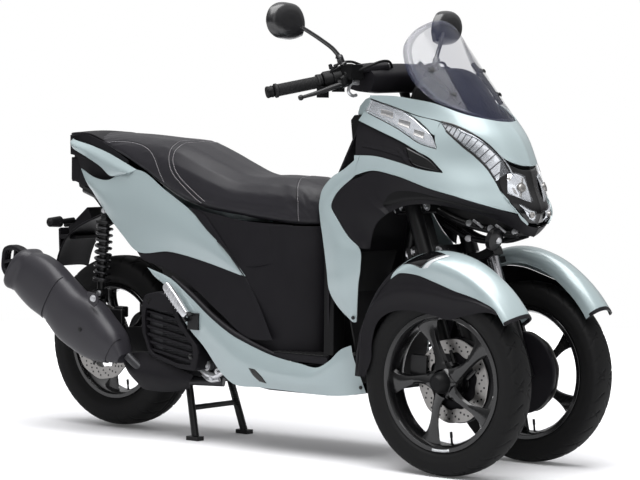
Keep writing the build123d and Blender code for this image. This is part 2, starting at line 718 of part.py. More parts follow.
def bar_end(side):
    """Start, direction and length of the straight end of the bar."""
    inner, outer = [Vector(*point) for point in on_bar(side, bar_route[2:])]
    return inner, (outer - inner).normalized(), (outer - inner).length


bar_tube = tube(list(reversed(on_bar(-1, bar_route[1:]))) + on_bar(1, bar_route), bar_radius, 40)
bar = bar_tube
bar = bar + steer_rod(0, 0, (pitman_level[0], column_top), stem_radius)
bar = bar + steer_block(0, (-18, steer_arm + 12), (-16, 16), pitman_level)
bar = bar + steer_rod(0, steer_arm, (link_level[0], pitman_level[0] + 2), 5)
bar = bar + bar_box((412, 450), (-24, 24), clamp)
parts["handlebar"] = bar


def grip(side):
    """Rubber sleeve on the straight end of the bar."""
    inner, run, length = bar_end(side)
    start = inner + run * (length - grip_length - 2)
    sleeve = Solid.make_cylinder(grip_radius, grip_length, Plane(start, z_dir=run))
    return sleeve - Solid.make_cylinder(bar_radius, 2 * length, Plane(inner, z_dir=run))


parts["grips"] = Compound(children=[grip(1), grip(-1)])


def bar_shell(stations, ring):
    """Form that follows the bar: the ring of (x, z) offsets is set around the bar at each station y."""
    half = [(x, y, rise) for x, y, rise in stations]
    whole = [(x, -y, rise) for x, y, rise in reversed(half[1:])] + half
    return hull([on_bar(1, [(x + dx, y, rise + dz) for dx, dz in ring]) for x, y, rise in whole])


cover_ring = ((-42, -34), (40, -34), (52, 0), (20, 26), (-34, 22))
channel_ring = ((-16, -16), (16, -16), (16, 16), (-16, 16))
cover = bar_shell(((440, 0, 2), (432, 70, 0), (404, 150, -4)), cover_ring)
channel = bar_shell(((438, 0, 0), (431, 72, 0), (403, 152, -6)), channel_ring)
clamp_pocket = bar_box((400, 457), (-26, 26), (bar_height - 52, bar_height + 21))
parts["bar_cover"] = cover - channel - clamp_pocket


def controls(side):
    """Switch housing, reservoir and lever of one side."""
    inner, run, length = bar_end(side)
    housing = Solid.make_cylinder(21, 46, Plane(inner + run * 8, z_dir=run))
    across = sorted((side * 176, side * 222))
    reservoir = bar_box((392, 428), across, (bar_height - 8, reservoir_top))
    lever = tube(on_bar(side, ((400, 215, -12), (392, 240, -22), (330, 345, -54))), 6, 15)
    return housing + reservoir + lever - bar_tube


parts["bar_controls"] = Compound(children=[controls(1), controls(-1)])


def mirror_arm(side):
    """Rear-view mirror on its stem."""
    foot_rise = reservoir_top + running_gap - bar_height
    points = on_bar(side, ((388, 212, foot_rise), (384, 220, 46), (362, 268, 88), (330, 330, 128)))
    stem = tube(points, 6, 18)
    half = [(300, 98), (352, 90), (400, 106), (413, 142), (398, 176), (350, 187), (306, 174), (296, 134)]
    glass = flat(on_bar(side, [(306, y, rise) for y, rise in half]))
    return stem + Solid.extrude(glass, Vector(30, 0, 0))


parts["mirrors"] = Compound(children=[mirror_arm(1), mirror_arm(-1)])


def hose(side):
    """Brake hose that rises from the reservoir and dips into the bar's cover."""
    points = on_bar(side, ((428, 190, 8), (452, 178, 20), (470, 140, 36), (470, 100, 34), (456, 78, 14)))
    return tube(points, 3.5, 10) - cover - controls(side)


parts["brake_hoses"] = Compound(children=[hose(1), hose(-1)])

os.makedirs("parts", exist_ok=True)
for name, shape in parts.items():
    export_step(shape if isinstance(shape, Compound) else Compound(children=[shape]), f"parts/{name}.step")
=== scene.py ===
import math

import bmesh
import bpy
import numpy as np
from mathutils import Matrix


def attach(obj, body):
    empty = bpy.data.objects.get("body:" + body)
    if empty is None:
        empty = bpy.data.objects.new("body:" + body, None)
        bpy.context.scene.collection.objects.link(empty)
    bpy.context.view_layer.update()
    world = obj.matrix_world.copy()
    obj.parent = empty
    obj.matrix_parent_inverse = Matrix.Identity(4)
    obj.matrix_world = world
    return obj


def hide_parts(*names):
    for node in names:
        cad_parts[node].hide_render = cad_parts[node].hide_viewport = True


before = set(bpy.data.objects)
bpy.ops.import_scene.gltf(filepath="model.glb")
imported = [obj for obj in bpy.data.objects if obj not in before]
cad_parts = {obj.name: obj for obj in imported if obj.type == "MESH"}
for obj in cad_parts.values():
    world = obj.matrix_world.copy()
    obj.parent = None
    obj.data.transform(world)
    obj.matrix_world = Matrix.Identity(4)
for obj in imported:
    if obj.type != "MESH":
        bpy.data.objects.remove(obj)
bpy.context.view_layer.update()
mm = 0.001  # tables are in millimetres of the row frame: +X forward, +Y left, +Z up
print("frame loaded")


# ---------- shapes as arrays
def curveThrough(knots, values, at, paired=False):
    # cubic between knots; the slope at a knot is the mean of those beside it, the nearer one counting more
    knots = np.asarray(knots, float)
    values = np.asarray(values, float)
    at = np.asarray(at, float)
    wide = (-1,) + (1,) * (values.ndim - 1)
    step = np.diff(knots)
    slope = np.diff(values, axis=0) / step.reshape(wide)
    share = (step[1:] / (step[:-1] + step[1:])).reshape(wide)
    tangent = np.concatenate((slope[:1], slope[:-1] * share + slope[1:] * (1 - share), slope[-1:]))
    i = np.clip(np.searchsorted(knots, at, side="right") - 1, 0, len(knots) - 2)
    t = (at - knots[i]) / step[i]
    if paired:
        pick = np.arange(len(at))
        low, high, goLow, goHigh = values[i,
                                          pick], values[i + 1, pick], tangent[i, pick], tangent[i + 1, pick]
        wide = (-1,) + (1,) * (values.ndim - 2)
    else:
        low, high, goLow, goHigh = values[i], values[i + 1], tangent[i], tangent[i + 1]
    t = t.reshape(wide)
    h = step[i].reshape(wide)
    rise = t * t * (3 - 2 * t)
    return low * (1 - rise) + high * rise + h * (goLow * (t - 2 * t**2 + t**3) + goHigh * (t**3 - t**2))


def reachOf(points):
    # distance of each point from the first, along the line
    return np.concatenate(([0], np.cumsum(np.linalg.norm(np.diff(points, axis=0), axis=1))))


def follow(points, count, smooth=True):
    # count points spaced evenly along the line through the given ones
    points = np.asarray(points, float)
    reach = reachOf(points)
    at = np.linspace(0, reach[-1], count)
    if smooth and len(points) > 2:
        return curveThrough(reach, points, at)
    return np.stack([np.interp(at, reach, column) for column in points.T], axis=1)


def net(rows, along, across, smooth=True):
    # every row of points becomes a smooth line of `across` points, and smooth lines run through the rows
    spread = np.array([follow(row, across, smooth) for row in rows])
    steps = np.linalg.norm(np.diff(spread, axis=0), axis=2).mean(axis=1)
    reach = np.concatenate(([0], np.cumsum(steps)))
    return curveThrough(reach, spread, np.linspace(0, reach[-1], along))


def gridForm(grid, closeRows=False, closeColumns=False, caps=False):
    # points and faces of a grid of points; caps close the first and last rows of a closed tube
    rows, columns = grid.shape[:2]
    i = np.arange(rows if closeRows else rows - 1)[:, None]
    j = np.arange(columns if closeColumns else columns - 1)[None, :]
    n = (i + 1) % rows
    m = (j + 1) % columns
    corners = np.broadcast_arrays(i * columns + j, n * columns + j, n * columns + m, i * columns + m)
    faces = np.stack(corners, axis=-1).reshape(-1, 4).tolist()
    if caps:
        faces.append(list(range(columns)))
        faces.append([(rows - 1) * columns + k for k in reversed(range(columns))])
    return grid.reshape(-1, 3), faces


def bodyForm(grid):
    # solid body whose sections are the rows of a grid
    return gridForm(grid, closeColumns=True, caps=True)


def fullTurn(count):
    # angles spaced evenly round a circle
    return np.linspace(0, 2 * math.pi, count, endpoint=False)


def powered(wave, power):
    # flattens or sharpens a wave between -1 and 1, for the sections of rounded boxes
    return np.sign(wave) * np.abs(wave) ** power


def sideLine(line, y):
    # line of (x, z) points at a distance y across the vehicle
    return np.stack([line[:, 0], np.full(len(line), y), line[:, 1]], axis=1)


def joined(forms):
    # one form from several
    start = np.cumsum([0] + [len(points) for points, faces in forms])
    faces = [[k + s for k in face] for s, (points, own) in zip(start, forms) for face in own]
    return np.concatenate([points for points, own in forms]), faces


def mirrored(form):
    # the same form on the other side of the vehicle
    points, faces = form
    return points * (1, -1, 1), [face[::-1] for face in faces]


def bothSides(*forms):
    # the forms of the left side and the same ones on the right
    return list(forms) + [mirrored(form) for form in forms]


def sheets(direction, *grids):
    # open sheets of both sides from grids of points, looking along direction
    return bothSides(*[sheet(grid, direction) for grid in grids])


def sheet(grid, direction):
    return facing(gridForm(grid), direction)


def facing(form, direction):
    # turns an open sheet's faces so that they look along direction on the whole
    points, faces = form
    quads = np.array([face for face in faces if len(face) == 4])
    a, b, c = points[quads[:, 0]], points[quads[:, 1]], points[quads[:, 2]]
    look = np.cross(b - a, c - b).sum(axis=0) @ np.asarray(direction, float)
    return form if look > 0 else (points, [face[::-1] for face in faces])


def unit(v):
    return v / np.linalg.norm(v, axis=-1, keepdims=True)


def tube(path, radius, count=12, side=(0, 1, 0)):
    # circles around a path, square to it; radius is one number or one for each point of the path
    path = np.asarray(path, float)
    run = unit(np.gradient(path, axis=0))
    first = unit(np.cross(run, np.asarray(side, float)))
    second = np.cross(run, first)
    turn = fullTurn(count)[None, :, None]
    reach = np.broadcast_to(np.asarray(radius, float), (len(path),))[:, None, None]
    ring = first[:, None] * np.cos(turn) + second[:, None] * np.sin(turn)
    return bodyForm(path[:, None] + ring * reach)


def rod(start, end, radius, count=16):
    side = (0, 1, 0) if abs(end[1] - start[1]) < 0.9 * math.dist(start, end) else (0, 0, 1)
    return tube([start, end], radius, count, side)


def lathe(profile, centre, count=48, closed=False):
    # profile of (radius, distance along Y) carried round the cross axis at centre
    profile = np.asarray(profile, float)
    turn = fullTurn(count)[:, None]
    x = centre[0] + profile[:, 0] * np.cos(turn)
    z = centre[2] + profile[:, 0] * np.sin(turn)
    y = centre[1] + profile[:, 1] + 0 * turn
    points, faces = gridForm(np.stack([x, y, z], axis=-1), closeRows=True, closeColumns=closed)
    if not closed:
        size = len(profile)
        for k in (0, size - 1):
            faces.append([i * size + k for i in range(count)])
    return points, faces


def slab(outline, low, high):
    # side outline of (x, z) points between two distances across the vehicle
    flat = np.asarray(outline, float)
    return bodyForm(np.array([sideLine(flat, y) for y in (low, high)]))


def block(x, y, z):
    return slab([(x[0], z[0]), (x[1], z[0]), (x[1], z[1]), (x[0], z[1])], y[0], y[1])


def moved(form, by):
    return form[0] + np.asarray(by, float), form[1]


def turned(form, axisPoint, axis, angle):
    # turned by angle degrees round the axis, by Rodrigues' formula
    k = unit(np.asarray(axis, float))
    p = form[0] - axisPoint
    a = math.radians(angle)
    p = p * math.cos(a) + np.cross(k, p) * math.sin(a) + np.outer(p @ k, k) * (1 - math.cos(a))
    return p + axisPoint, form[1]


def bolt(centre, direction, radius=4.5, height=3, sides=6):
    # bolt head with a small washer, standing on its centre along direction
    centre = np.asarray(centre, float)
    d = unit(np.asarray(direction, float))
    path = [centre, centre + d * 0.8, centre + d * 0.81, centre + d * height, centre + d * (height + 0.6)]
    side = (0, 1, 0) if abs(d[1]) < 0.9 else (0, 0, 1)
    return tube(path, [radius * 1.35, radius * 1.35, radius, radius, radius * 0.75], sides * 2, side)


def addPiece(name, forms, finish, body="root", stands=(), wall=0, bevel=0, crease=35):
    # one Blender object from forms; wall thickens open sheets inwards, bevel rounds the edges
    points, faces = joined(forms)
    mesh = bpy.data.meshes.new(name)
    mesh.from_pydata((points * mm).tolist(), [], faces)
    work = bmesh.new()
    work.from_mesh(mesh)
    bmesh.ops.remove_doubles(work, verts=work.verts, dist=0.00002)
    bmesh.ops.dissolve_degenerate(work, dist=0.00001, edges=work.edges)
    if not wall:
        bmesh.ops.recalc_face_normals(work, faces=work.faces)
    work.to_mesh(mesh)
    work.free()
    mesh.shade_smooth()
    mesh.set_sharp_from_angle(angle=math.radians(crease))
    piece = bpy.data.objects.new(name, mesh)
    bpy.context.scene.collection.objects.link(piece)
    mesh.materials.append(finishes[finish])
    if wall:
        skin = piece.modifiers.new("wall", "SOLIDIFY")
        skin.thickness = wall * mm
        skin.offset = -1
    if bevel:
        edge = piece.modifiers.new("edge", "BEVEL")
        edge.width = bevel * mm
        edge.segments = 2
        edge.limit_method = "ANGLE"
        edge.angle_limit = math.radians(40)
        tidy = piece.modifiers.new("normals", "WEIGHTED_NORMAL")
        tidy.keep_sharp = True
    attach(piece, body)
    if stands:
        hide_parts(*stands)
    return piece


# ---------- camera, light and floor
cameraPlace = {
    "azimuth": 39.48, "elevation": 3.76, "distance": 7.4914, "roll": 0.545,
    "target": (0.065, 0, 0.5), "lens": 147.58, "shift": (0.0349, 0.0495),
}
studio = {
    "skyTop": 0.8, "skySide": 0.15, "skyLow": 0.08, "background": 1.0,
    "floorRadius": 4.2, "floorRings": 24, "floorPoints": 64, "floorGlow": (0.06, 0.75),
    "glowReach": (1.3, 2.6),
    "keyPower": 400, "keySize": 4.4, "keyPlace": (0.55, -0.9, 4.2), "fillPower": 18, "fillSize": 2.4,
    "fillPlace": (4.2, -2.6, 1.7),
}


def placeCamera():
    # camera on a sphere round its target, turned by the roll round its line of sight
    a = math.radians(cameraPlace["azimuth"])
    e = math.radians(cameraPlace["elevation"])
    r = math.radians(cameraPlace["roll"])
    back = np.array([math.sin(a) * math.cos(e), -math.cos(a) * math.cos(e), math.sin(e)])
    right = unit(np.cross(-back, (0, 0, 1)))
    up = np.cross(right, -back)
    across = math.cos(r) * right + math.sin(r) * up
    upright = -math.sin(r) * right + math.cos(r) * up
    camera = bpy.data.objects.new("camera", bpy.data.cameras.new("camera"))
    bpy.context.scene.collection.objects.link(camera)
    place = np.eye(4)
    place[:3, 0], place[:3, 1], place[:3, 2] = across, upright, back
    place[:3, 3] = np.asarray(cameraPlace["target"]) + back * cameraPlace["distance"]
    camera.matrix_world = Matrix(place.tolist())
    camera.data.sensor_width = 36
    camera.data.lens = cameraPlace["lens"]
    camera.data.shift_x, camera.data.shift_y = cameraPlace["shift"]
    camera.data.clip_end = 200
    bpy.context.scene.camera = camera


def areaLight(name, power, size, place, target):
    # square light at place, looking at target
    light = bpy.data.objects.new(name, bpy.data.lights.new(name, "AREA"))
    bpy.context.scene.collection.objects.link(light)
    light.data.energy = power
    light.data.size = size
    back = unit(np.asarray(place, float) - np.asarray(target, float))
    right = unit(np.cross((0, 0.02, 1), back))
    turn = np.eye(4)
    turn[:3, 0], turn[:3, 1], turn[:3, 2], turn[:3, 3] = right, np.cross(back, right), back, place
    light.matrix_world = Matrix(turn.tolist())


def fill(tree, node, inputs):
    # gives the inputs of a node a plain value each, or a link from another node's output
    for key, value in inputs.items():
        if isinstance(value, bpy.types.NodeSocket):
            tree.links.new(value, node.inputs[key])
        else:
            node.inputs[key].default_value = value
    return node


def addNode(tree, kind, inputs):
    # new shader node with its inputs filled
    return fill(tree, tree.nodes.new("ShaderNode" + kind), inputs)


def lightStudio():
    # plain white surroundings for the eye, brighter above than at the sides for everything they light
    world = bpy.data.worlds.new("studio")
    bpy.context.scene.world = world
    world.use_nodes = True
    tree = world.node_tree
    tree.nodes.clear()
    where = addNode(tree, "TexCoord", {}).outputs["Generated"]
    height = addNode(tree, "SeparateXYZ", {0: where}).outputs["Z"]
    share = addNode(tree, "MapRange", {"From Min": -1, "Value": height}).outputs["Result"]
    ramp = addNode(tree, "ValToRGB", {"Fac": share})
    stops = ((0.0, studio["skyLow"]), (0.5, studio["skySide"]), (0.75, studio["skyTop"]))
    ramp.color_ramp.elements.new(0.75)
    for element, (position, grey) in zip(ramp.color_ramp.elements, stops):
        element.position = position
        element.color = (grey, grey, grey * 1.01, 1)
    lit = addNode(tree, "Background", {"Color": ramp.outputs["Color"]})
    seen = addNode(tree, "Background", {"Color": (1, 1, 1, 1), "Strength": studio["background"]})
    eye = addNode(tree, "LightPath", {}).outputs["Is Camera Ray"]
    mix = addNode(tree, "MixShader", {"Fac": eye, 1: lit.outputs[0], 2: seen.outputs[0]})
    addNode(tree, "OutputWorld", {"Surface": mix.outputs[0]})
    areaLight("key", studio["keyPower"], studio["keySize"], studio["keyPlace"], (0, 0, 0.5))
    areaLight("fill", studio["fillPower"], studio["fillSize"], studio["fillPlace"], (0.2, 0, 0.5))
    bpy.context.scene.view_settings.view_transform = "Standard"


placeCamera()
lightStudio()
print("camera and light placed")


# ---------- finishes
def linear(grey):
    # screen colour of 0..255 as light
    c = np.asarray(grey, float) / 255
    return tuple(np.where(c <= 0.04045, c / 12.92, ((c + 0.055) / 1.055) ** 2.4)) + (1,)


finishTable = {
    # colour, second colour, patches, roughness, its spread, metal, coat, gloss, grain's kind, scale, height
    "bodyPaint": ((134, 146, 148), (138, 151, 153), 3, 0.36, 0.03, 0.2, 0.5, 0.5, "fine", 1400, 0.004),
    "charcoalPlastic": ((15, 14, 17), (19, 18, 21), 30, 0.5, 0.06, 0, 0, 0.12, "pebble", 1500, 0.05),
    "blackPlastic": ((10, 10, 11), (14, 14, 15), 25, 0.45, 0.06, 0, 0, 0.12, "pebble", 1300, 0.04),
    "glossBlack": ((6, 6, 7), (9, 9, 10), 12, 0.16, 0.03, 0, 0.25, 0.25, "fine", 900, 0.003),
    "seatCover": ((22, 21, 25), (27, 26, 30), 18, 0.42, 0.06, 0, 0, 0.22, "leather", 420, 0.16),
    "seatSide": ((20, 19, 22), (25, 24, 27), 18, 0.5, 0.05, 0, 0, 0.16, "leather", 700, 0.12),
    "thread": ((150, 148, 150), (130, 128, 132), 200, 0.7, 0.05, 0, 0, 0.3, "fine", 3000, 0.05),
    "tyreRubber": ((13, 13, 14), (18, 18, 18), 14, 0.62, 0.08, 0, 0, 0.12, "fine", 1200, 0.06),
    "gripRubber": ((14, 14, 15), (18, 18, 19), 40, 0.66, 0.05, 0, 0, 0.25, "pebble", 900, 0.08),
    "wheelPaint": ((9, 9, 10), (13, 13, 14), 10, 0.22, 0.04, 0, 0.35, 0.3, "fine", 1000, 0.003),
    "discSteel": ((120, 118, 117), (150, 148, 145), 45, 0.32, 0.1, 0.9, 0, 0.5, "fine", 1800, 0.02),
    "framePaint": ((13, 13, 14), (18, 18, 19), 20, 0.36, 0.06, 0, 0.1, 0.2, "fine", 1100, 0.02),
    "forkMetal": ((150, 150, 153), (172, 172, 175), 25, 0.2, 0.05, 0.95, 0, 0.5, "fine", 1500, 0.01),
    "engineMetal": ((38, 38, 40), (52, 52, 55), 26, 0.45, 0.1, 0.5, 0, 0.4, "cast", 520, 0.12),
    "brightAlloy": ((176, 177, 180), (196, 197, 199), 32, 0.34, 0.08, 0.85, 0, 0.5, "cast", 700, 0.06),
    "lampSilver": ((176, 179, 184), (224, 227, 231), 55, 0.14, 0.06, 0.85, 0.3, 0.5, "fine", 180, 0.2),
    "redLens": ((110, 8, 12), (140, 14, 18), 40, 0.16, 0.04, 0, 0.5, 0.5, "fine", 300, 0.06),
    "mirrorGlass": ((190, 196, 204), (196, 202, 210), 8, 0.05, 0.02, 1, 0, 0.5, "fine", 100, 0.001),
    "dialGlass": ((10, 13, 16), (14, 17, 20), 20, 0.1, 0.02, 0, 0.5, 0.5, "fine", 100, 0.001),
    "muffler": ((36, 35, 39), (42, 41, 45), 14, 0.42, 0.07, 0.1, 0, 0.3, "fine", 1500, 0.04),
    "paleLine": ((176, 178, 180), (188, 190, 192), 60, 0.4, 0.05, 0.3, 0.2, 0.5, "fine", 900, 0.01),
    "springSteel": ((26, 26, 28), (36, 36, 38), 20, 0.24, 0.05, 0.6, 0.3, 0.5, "fine", 900, 0.01),
    "mirrorBlack": ((14, 14, 16), (18, 18, 20), 8, 0.3, 0.03, 0, 0.15, 0.5, "fine", 900, 0.003),
    "floorWhite": ((212, 212, 214), (215, 215, 217), 1.2, 0.8, 0.03, 0, 0, 0.1, "fine", 300, 0.01),
}


def grainHeight(tree, where, kind, scale):
    # the texture whose height makes the grain: fine speckle, pebbles, leather cells or cast skin
    detail = 3 if kind == "fine" else 5
    noise = addNode(tree, "TexNoise", {"Scale": scale, "Detail": detail, "Vector": where})
    if kind in ("fine", "cast"):
        return noise.outputs["Fac"]
    bend = tree.nodes.new("ShaderNodeVectorMath")
    bend.operation = "MULTIPLY_ADD"
    fill(tree, bend, {0: noise.outputs["Color"], 1: (0.6 / scale,) * 3, 2: where})
    cells = tree.nodes.new("ShaderNodeTexVoronoi")
    cells.feature = "DISTANCE_TO_EDGE" if kind == "leather" else "SMOOTH_F1"
    fill(tree, cells, {"Scale": scale, "Vector": bend.outputs[0]})
    reach = 0.28 if kind == "leather" else 0.8
    level = addNode(tree, "MapRange", {"From Max": reach, "Value": cells.outputs["Distance"]})
    return level.outputs["Result"]


def makeFinish(name):
    # patches of two colours, with the roughness following them, and a grain
    colour, second, patch, rough, spread, metal, coat, gloss, kind, scale, height = finishTable[name]
    material = bpy.data.materials.new(name)
    material.use_nodes = True
    tree = material.node_tree
    where = addNode(tree, "TexCoord", {}).outputs["Object"]
    cloud = addNode(tree, "TexNoise", {"Scale": patch, "Detail": 4, "Vector": where}).outputs["Fac"]
    tint = tree.nodes.new("ShaderNodeMix")
    tint.data_type = "RGBA"
    fill(tree, tint, {"A": linear(colour), "B": linear(second), "Factor": cloud})
    matt = addNode(tree, "MapRange", {"To Min": rough - spread, "To Max": rough + spread, "Value": cloud})
    grain = grainHeight(tree, where, kind, scale)
    bump = addNode(tree, "Bump", {"Strength": 0.6, "Distance": height * mm, "Height": grain})
    fill(tree, tree.nodes["Principled BSDF"], {
        "Metallic": metal, "Coat Weight": coat, "Coat Roughness": 0.12, "Specular IOR Level": gloss,
        "Base Color": tint.outputs["Result"], "Roughness": matt.outputs["Result"],
        "Normal": bump.outputs["Normal"],
    })
    return material


def makeGlass(name, colour, rough, alpha):
    # clear or smoked sheet that lets most light straight through
    material = makeFinish("dialGlass")
    material.name = name
    tree = material.node_tree
    shader = tree.nodes["Principled BSDF"]
    for key in ("Base Color", "Roughness"):
        for link in list(shader.inputs[key].links):
            tree.links.remove(link)
    fill(tree, shader, {"Base Color": linear(colour), "Roughness": rough, "Alpha": alpha})
    return material


finishes = {name: makeFinish(name) for name in finishTable}
finishes["smokedGlass"] = makeGlass("smokedGlass", (36, 41, 66), 0.04, 0.21)
finishes["clearLens"] = makeGlass("clearLens", (200, 205, 212), 0.03, 0.05)
print("finishes made")


def makeFloor():
    # round floor: rings of points about the origin, each ring wider than the last; it glows towards its rim
    rings = np.geomspace(0.5, studio["floorRadius"], studio["floorRings"])[:, None]
    turn = fullTurn(studio["floorPoints"])[None, :]
    grid = np.stack([rings * np.cos(turn), rings * np.sin(turn), 0 * rings * turn - 0.0005], axis=-1)
    points, faces = gridForm(grid, closeColumns=True)
    faces.append(list(range(studio["floorPoints"])))
    mesh = bpy.data.meshes.new("floor")
    mesh.from_pydata(points.tolist(), [], faces)
    floor = bpy.data.objects.new("floor", mesh)
    bpy.context.scene.collection.objects.link(floor)
    tree = finishes["floorWhite"].node_tree
    far = tree.nodes.new("ShaderNodeVectorMath")
    far.operation = "LENGTH"
    fill(tree, far, {0: addNode(tree, "TexCoord", {}).outputs["Object"]})
    glow = tree.nodes.new("ShaderNodeMapRange")
    glow.interpolation_type = "SMOOTHSTEP"
    (near, edge), (dim, bright) = studio["glowReach"], studio["floorGlow"]
    fill(tree, glow, {"From Min": near, "From Max": edge, "To Min": dim, "To Max": bright,
                      "Value": far.outputs["Value"]})
    fill(tree, tree.nodes["Principled BSDF"], {"Emission Color": (1, 1, 1, 1),
                                               "Emission Strength": glow.outputs["Result"]})
    mesh.materials.append(finishes["floorWhite"])


makeFloor()


# ---------- front body: one smooth form that its panels are laid on
frontForm = {
    "turns": (0, 0.2, 0.4, 0.6, 0.8, 1),  # from the middle of the front round to the side
    "levels": {  # height: (x, y) at each turn
        640: ((884, 0), (868, 60), (820, 105), (740, 155), (600, 188), (470, 210)),
        700: ((905, 0), (890, 62), (835, 115), (745, 172), (600, 200), (470, 212)),
        760: ((884, 0), (866, 66), (790, 130), (705, 178), (585, 202), (440, 214)),
        830: ((862, 0), (838, 66), (752, 128), (668, 176), (560, 198), (430, 208)),
        900: ((825, 0), (806, 64), (748, 124), (668, 164), (560, 182), (420, 192)),
        960: ((768, 0), (757, 60), (719, 112), (668, 148), (560, 168), (430, 180)),
        1000: ((735, 0), (726, 60), (690, 112), (640, 150), (545, 168), (440, 176)),
    },
    "turnLength": 600,  # how many millimetres one turn counts as when points are spaced
}


def onForm(turn, height):
    # cubic round each level, then cubic up through the levels
    shape = turn.shape
    turn, height = turn.ravel(), height.ravel()
    levels = np.array(list(frontForm["levels"].values()), float)
    rings = curveThrough(frontForm["turns"], np.swapaxes(levels, 0, 1), np.abs(turn))
    flat = curveThrough(list(frontForm["levels"]), np.swapaxes(rings, 0, 1), height, paired=True)
    side = np.where(turn < 0, -1, 1)
    return np.stack([flat[:, 0], flat[:, 1] * side, height], axis=-1).reshape(shape + (3,))


def formPoints(spots):
    # points of (turn, height, depth) on the form, pushed inwards along its normal by depth
    spots = np.asarray(spots, float)
    turn, height = spots[..., 0], spots[..., 1]
    here = onForm(turn, height)
    out = unit(np.cross(onForm(turn + 0.01, height) - here, onForm(turn, height + 2) - here))
    return here - out * spots[..., 2:3]


def formLine(spots, count, depth=0):
    # line on the form through (turn, height) or (turn, height, depth) spots
    wide = frontForm["turnLength"]
    raw = np.array([tuple(spot) + (0,) * (3 - len(spot)) for spot in spots], float) * (wide, 1, 1)
    line = follow(raw, count) / (wide, 1, 1)
    line[:, 2] += depth
    return line


def formPatch(top, low, along, across, depth=0, crown=0):
    # grid between two lines on the form, its middle raised by crown
    a, b = formLine(top, along, depth), formLine(low, along, depth)
    share = np.linspace(0, 1, across)[None, :, None]
    spots = a[:, None] * (1 - share) + b[:, None] * share
    spots[..., 2:3] -= crown * 4 * share * (1 - share)
    return formPoints(spots)


frontLines = {  # (turn, height) along the edges of the panels, from the rear to the front
    "screenFoot": ((0.97, 1004), (0.81, 1002), (0.71, 994), (0.62, 986), (0.51, 970), (0.35, 952),
                   (0.24, 944), (0.12, 938), (0, 936)),
    "bonnetEdge": ((0.97, 997), (0.85, 977), (0.72, 951), (0.59, 937), (0.39, 912), (0.29, 879), (0.21, 837),
                   (0.12, 824), (0, 820)),
    "signalTop": ((0.965, 993), (0.85, 973), (0.77, 955), (0.71, 933), (0.63, 904), (0.578, 866)),
    "signalLow": ((0.985, 962), (0.82, 918), (0.68, 878), (0.578, 864)),
    "intakeTop": ((1.0, 936), (0.89, 908), (0.68, 856), (0.60, 834), (0.56, 806)),
    "intakeLow": ((1.0, 842), (0.90, 841), (0.79, 827), (0.67, 808), (0.56, 800)),
    "bandTop": ((1.0, 786), (0.92, 800), (0.82, 790), (0.66, 755), (0.56, 738)),
    "slitTop": ((0.585, 936), (0.48, 926), (0.38, 906), (0.30, 878), (0.24, 845), (0.215, 806)),
    "slitLow": ((0.585, 934), (0.54, 912), (0.44, 874), (0.36, 844), (0.32, 816), (0.30, 782), (0.29, 730),
                (0.24, 690), (0.15, 668)),
    "bandFront": ((0.56, 738), (0.51, 728), (0.38, 706), (0.24, 690), (0.15, 668)),
    "wedgeTop": ((0.79, 961), (0.72, 948.5), (0.65, 941), (0.592, 934)),
    "wedgeLow": ((0.783, 957.5), (0.71, 936.5), (0.638, 908), (0.604, 899)),
    "shellLow": ((1, 700), (0.91, 706), (0.79, 724), (0.71, 728), (0.59, 718), (0.49, 700), (0.38, 684),
                 (0.19, 664), (0, 650)),
}
panelFit = {"wall": 3.5, "bevel": 0.9, "gap": 2.0, "shellDepth": 9}


def bonnet():
    # painted panel from the screen's foot down, with the wedge between the two lamps
    half = formPatch(frontLines["screenFoot"], frontLines["bonnetEdge"], 60, 18)
    form = sheet(half, (1, 0, 1))
    wedge = formPatch(frontLines["wedgeTop"], frontLines["wedgeLow"], 20, 8)
    form = joined([form, sheet(wedge, (1, 1, 1))])
    return addPiece("bonnet", bothSides(form), "bodyPaint", stands=("front_cowl",),
                    wall=panelFit["wall"], bevel=panelFit["bevel"])


def nosePanels():
    # upper strip over the intake, lower strip under it, and the front that both run into
    lines = frontLines
    gap = panelFit["gap"]
    upperTop = [(t, z - gap) for t, z in lines["signalLow"]]
    upper = formPatch(upperTop, lines["intakeTop"], 40, 9)
    lower = formPatch(lines["intakeLow"], [(t, z + gap) for t, z in lines["bandTop"]], 40, 9)
    edge = [lines["slitLow"][0], (0.60, 905), (0.578, 862)]
    upright = np.concatenate((
        formLine([(t + 0.002, z) for t, z in edge], 12)[:-1],
        formLine([upperTop[-1], lines["intakeTop"][-1]], 9),
        formLine([lines["intakeLow"][-1], (0.56, 738 + gap)], 9),
    ))
    count = len(upright)
    slit = [(t + 0.006, z - gap) for t, z in lines["slitLow"]]
    low = [(t, z + gap) for t, z in lines["bandFront"]]
    top, bottom = formLine(slit, 44), formLine(low, 44)
    share = np.linspace(0, 1, count)[None, :, None]
    spots = top[:, None] * (1 - share) + bottom[:, None] * share
    fade = np.linspace(1, 0, 44)[:, None, None] ** 2
    spots += (upright - spots[0])[None] * fade
    forms = [sheet(grid, (0, 1, 0)) for grid in (upper, lower, formPoints(spots))]
    return addPiece("nosePanels", bothSides(*forms), "bodyPaint", wall=panelFit["wall"],
                    bevel=panelFit["bevel"])


def innerShell():
    # dark shell a little inside the panels, seen only through the gaps
    high = [(t, z - 8) for t, z in frontLines["screenFoot"]]
    shell = formPatch(high, frontLines["shellLow"], 40, 24, panelFit["shellDepth"])
    return addPiece("innerShell", sheets((1, 0, 0), shell), "blackPlastic", wall=2)


intakeForm = {
    "depth": 7, "ribTop": ((0.97, 878), (0.84, 862), (0.72, 836)),
    "ribLow": ((0.97, 868), (0.84, 852), (0.71, 830)),
    "mouthTop": ((0.76, 872), (0.70, 858), (0.62, 836), (0.575, 808)),
    "mouthLow": ((0.72, 822), (0.68, 814), (0.62, 808), (0.575, 806)),
    "barTop": ((0.80, 866), (0.77, 862)), "barLow": ((0.735, 818), (0.71, 815)),
}


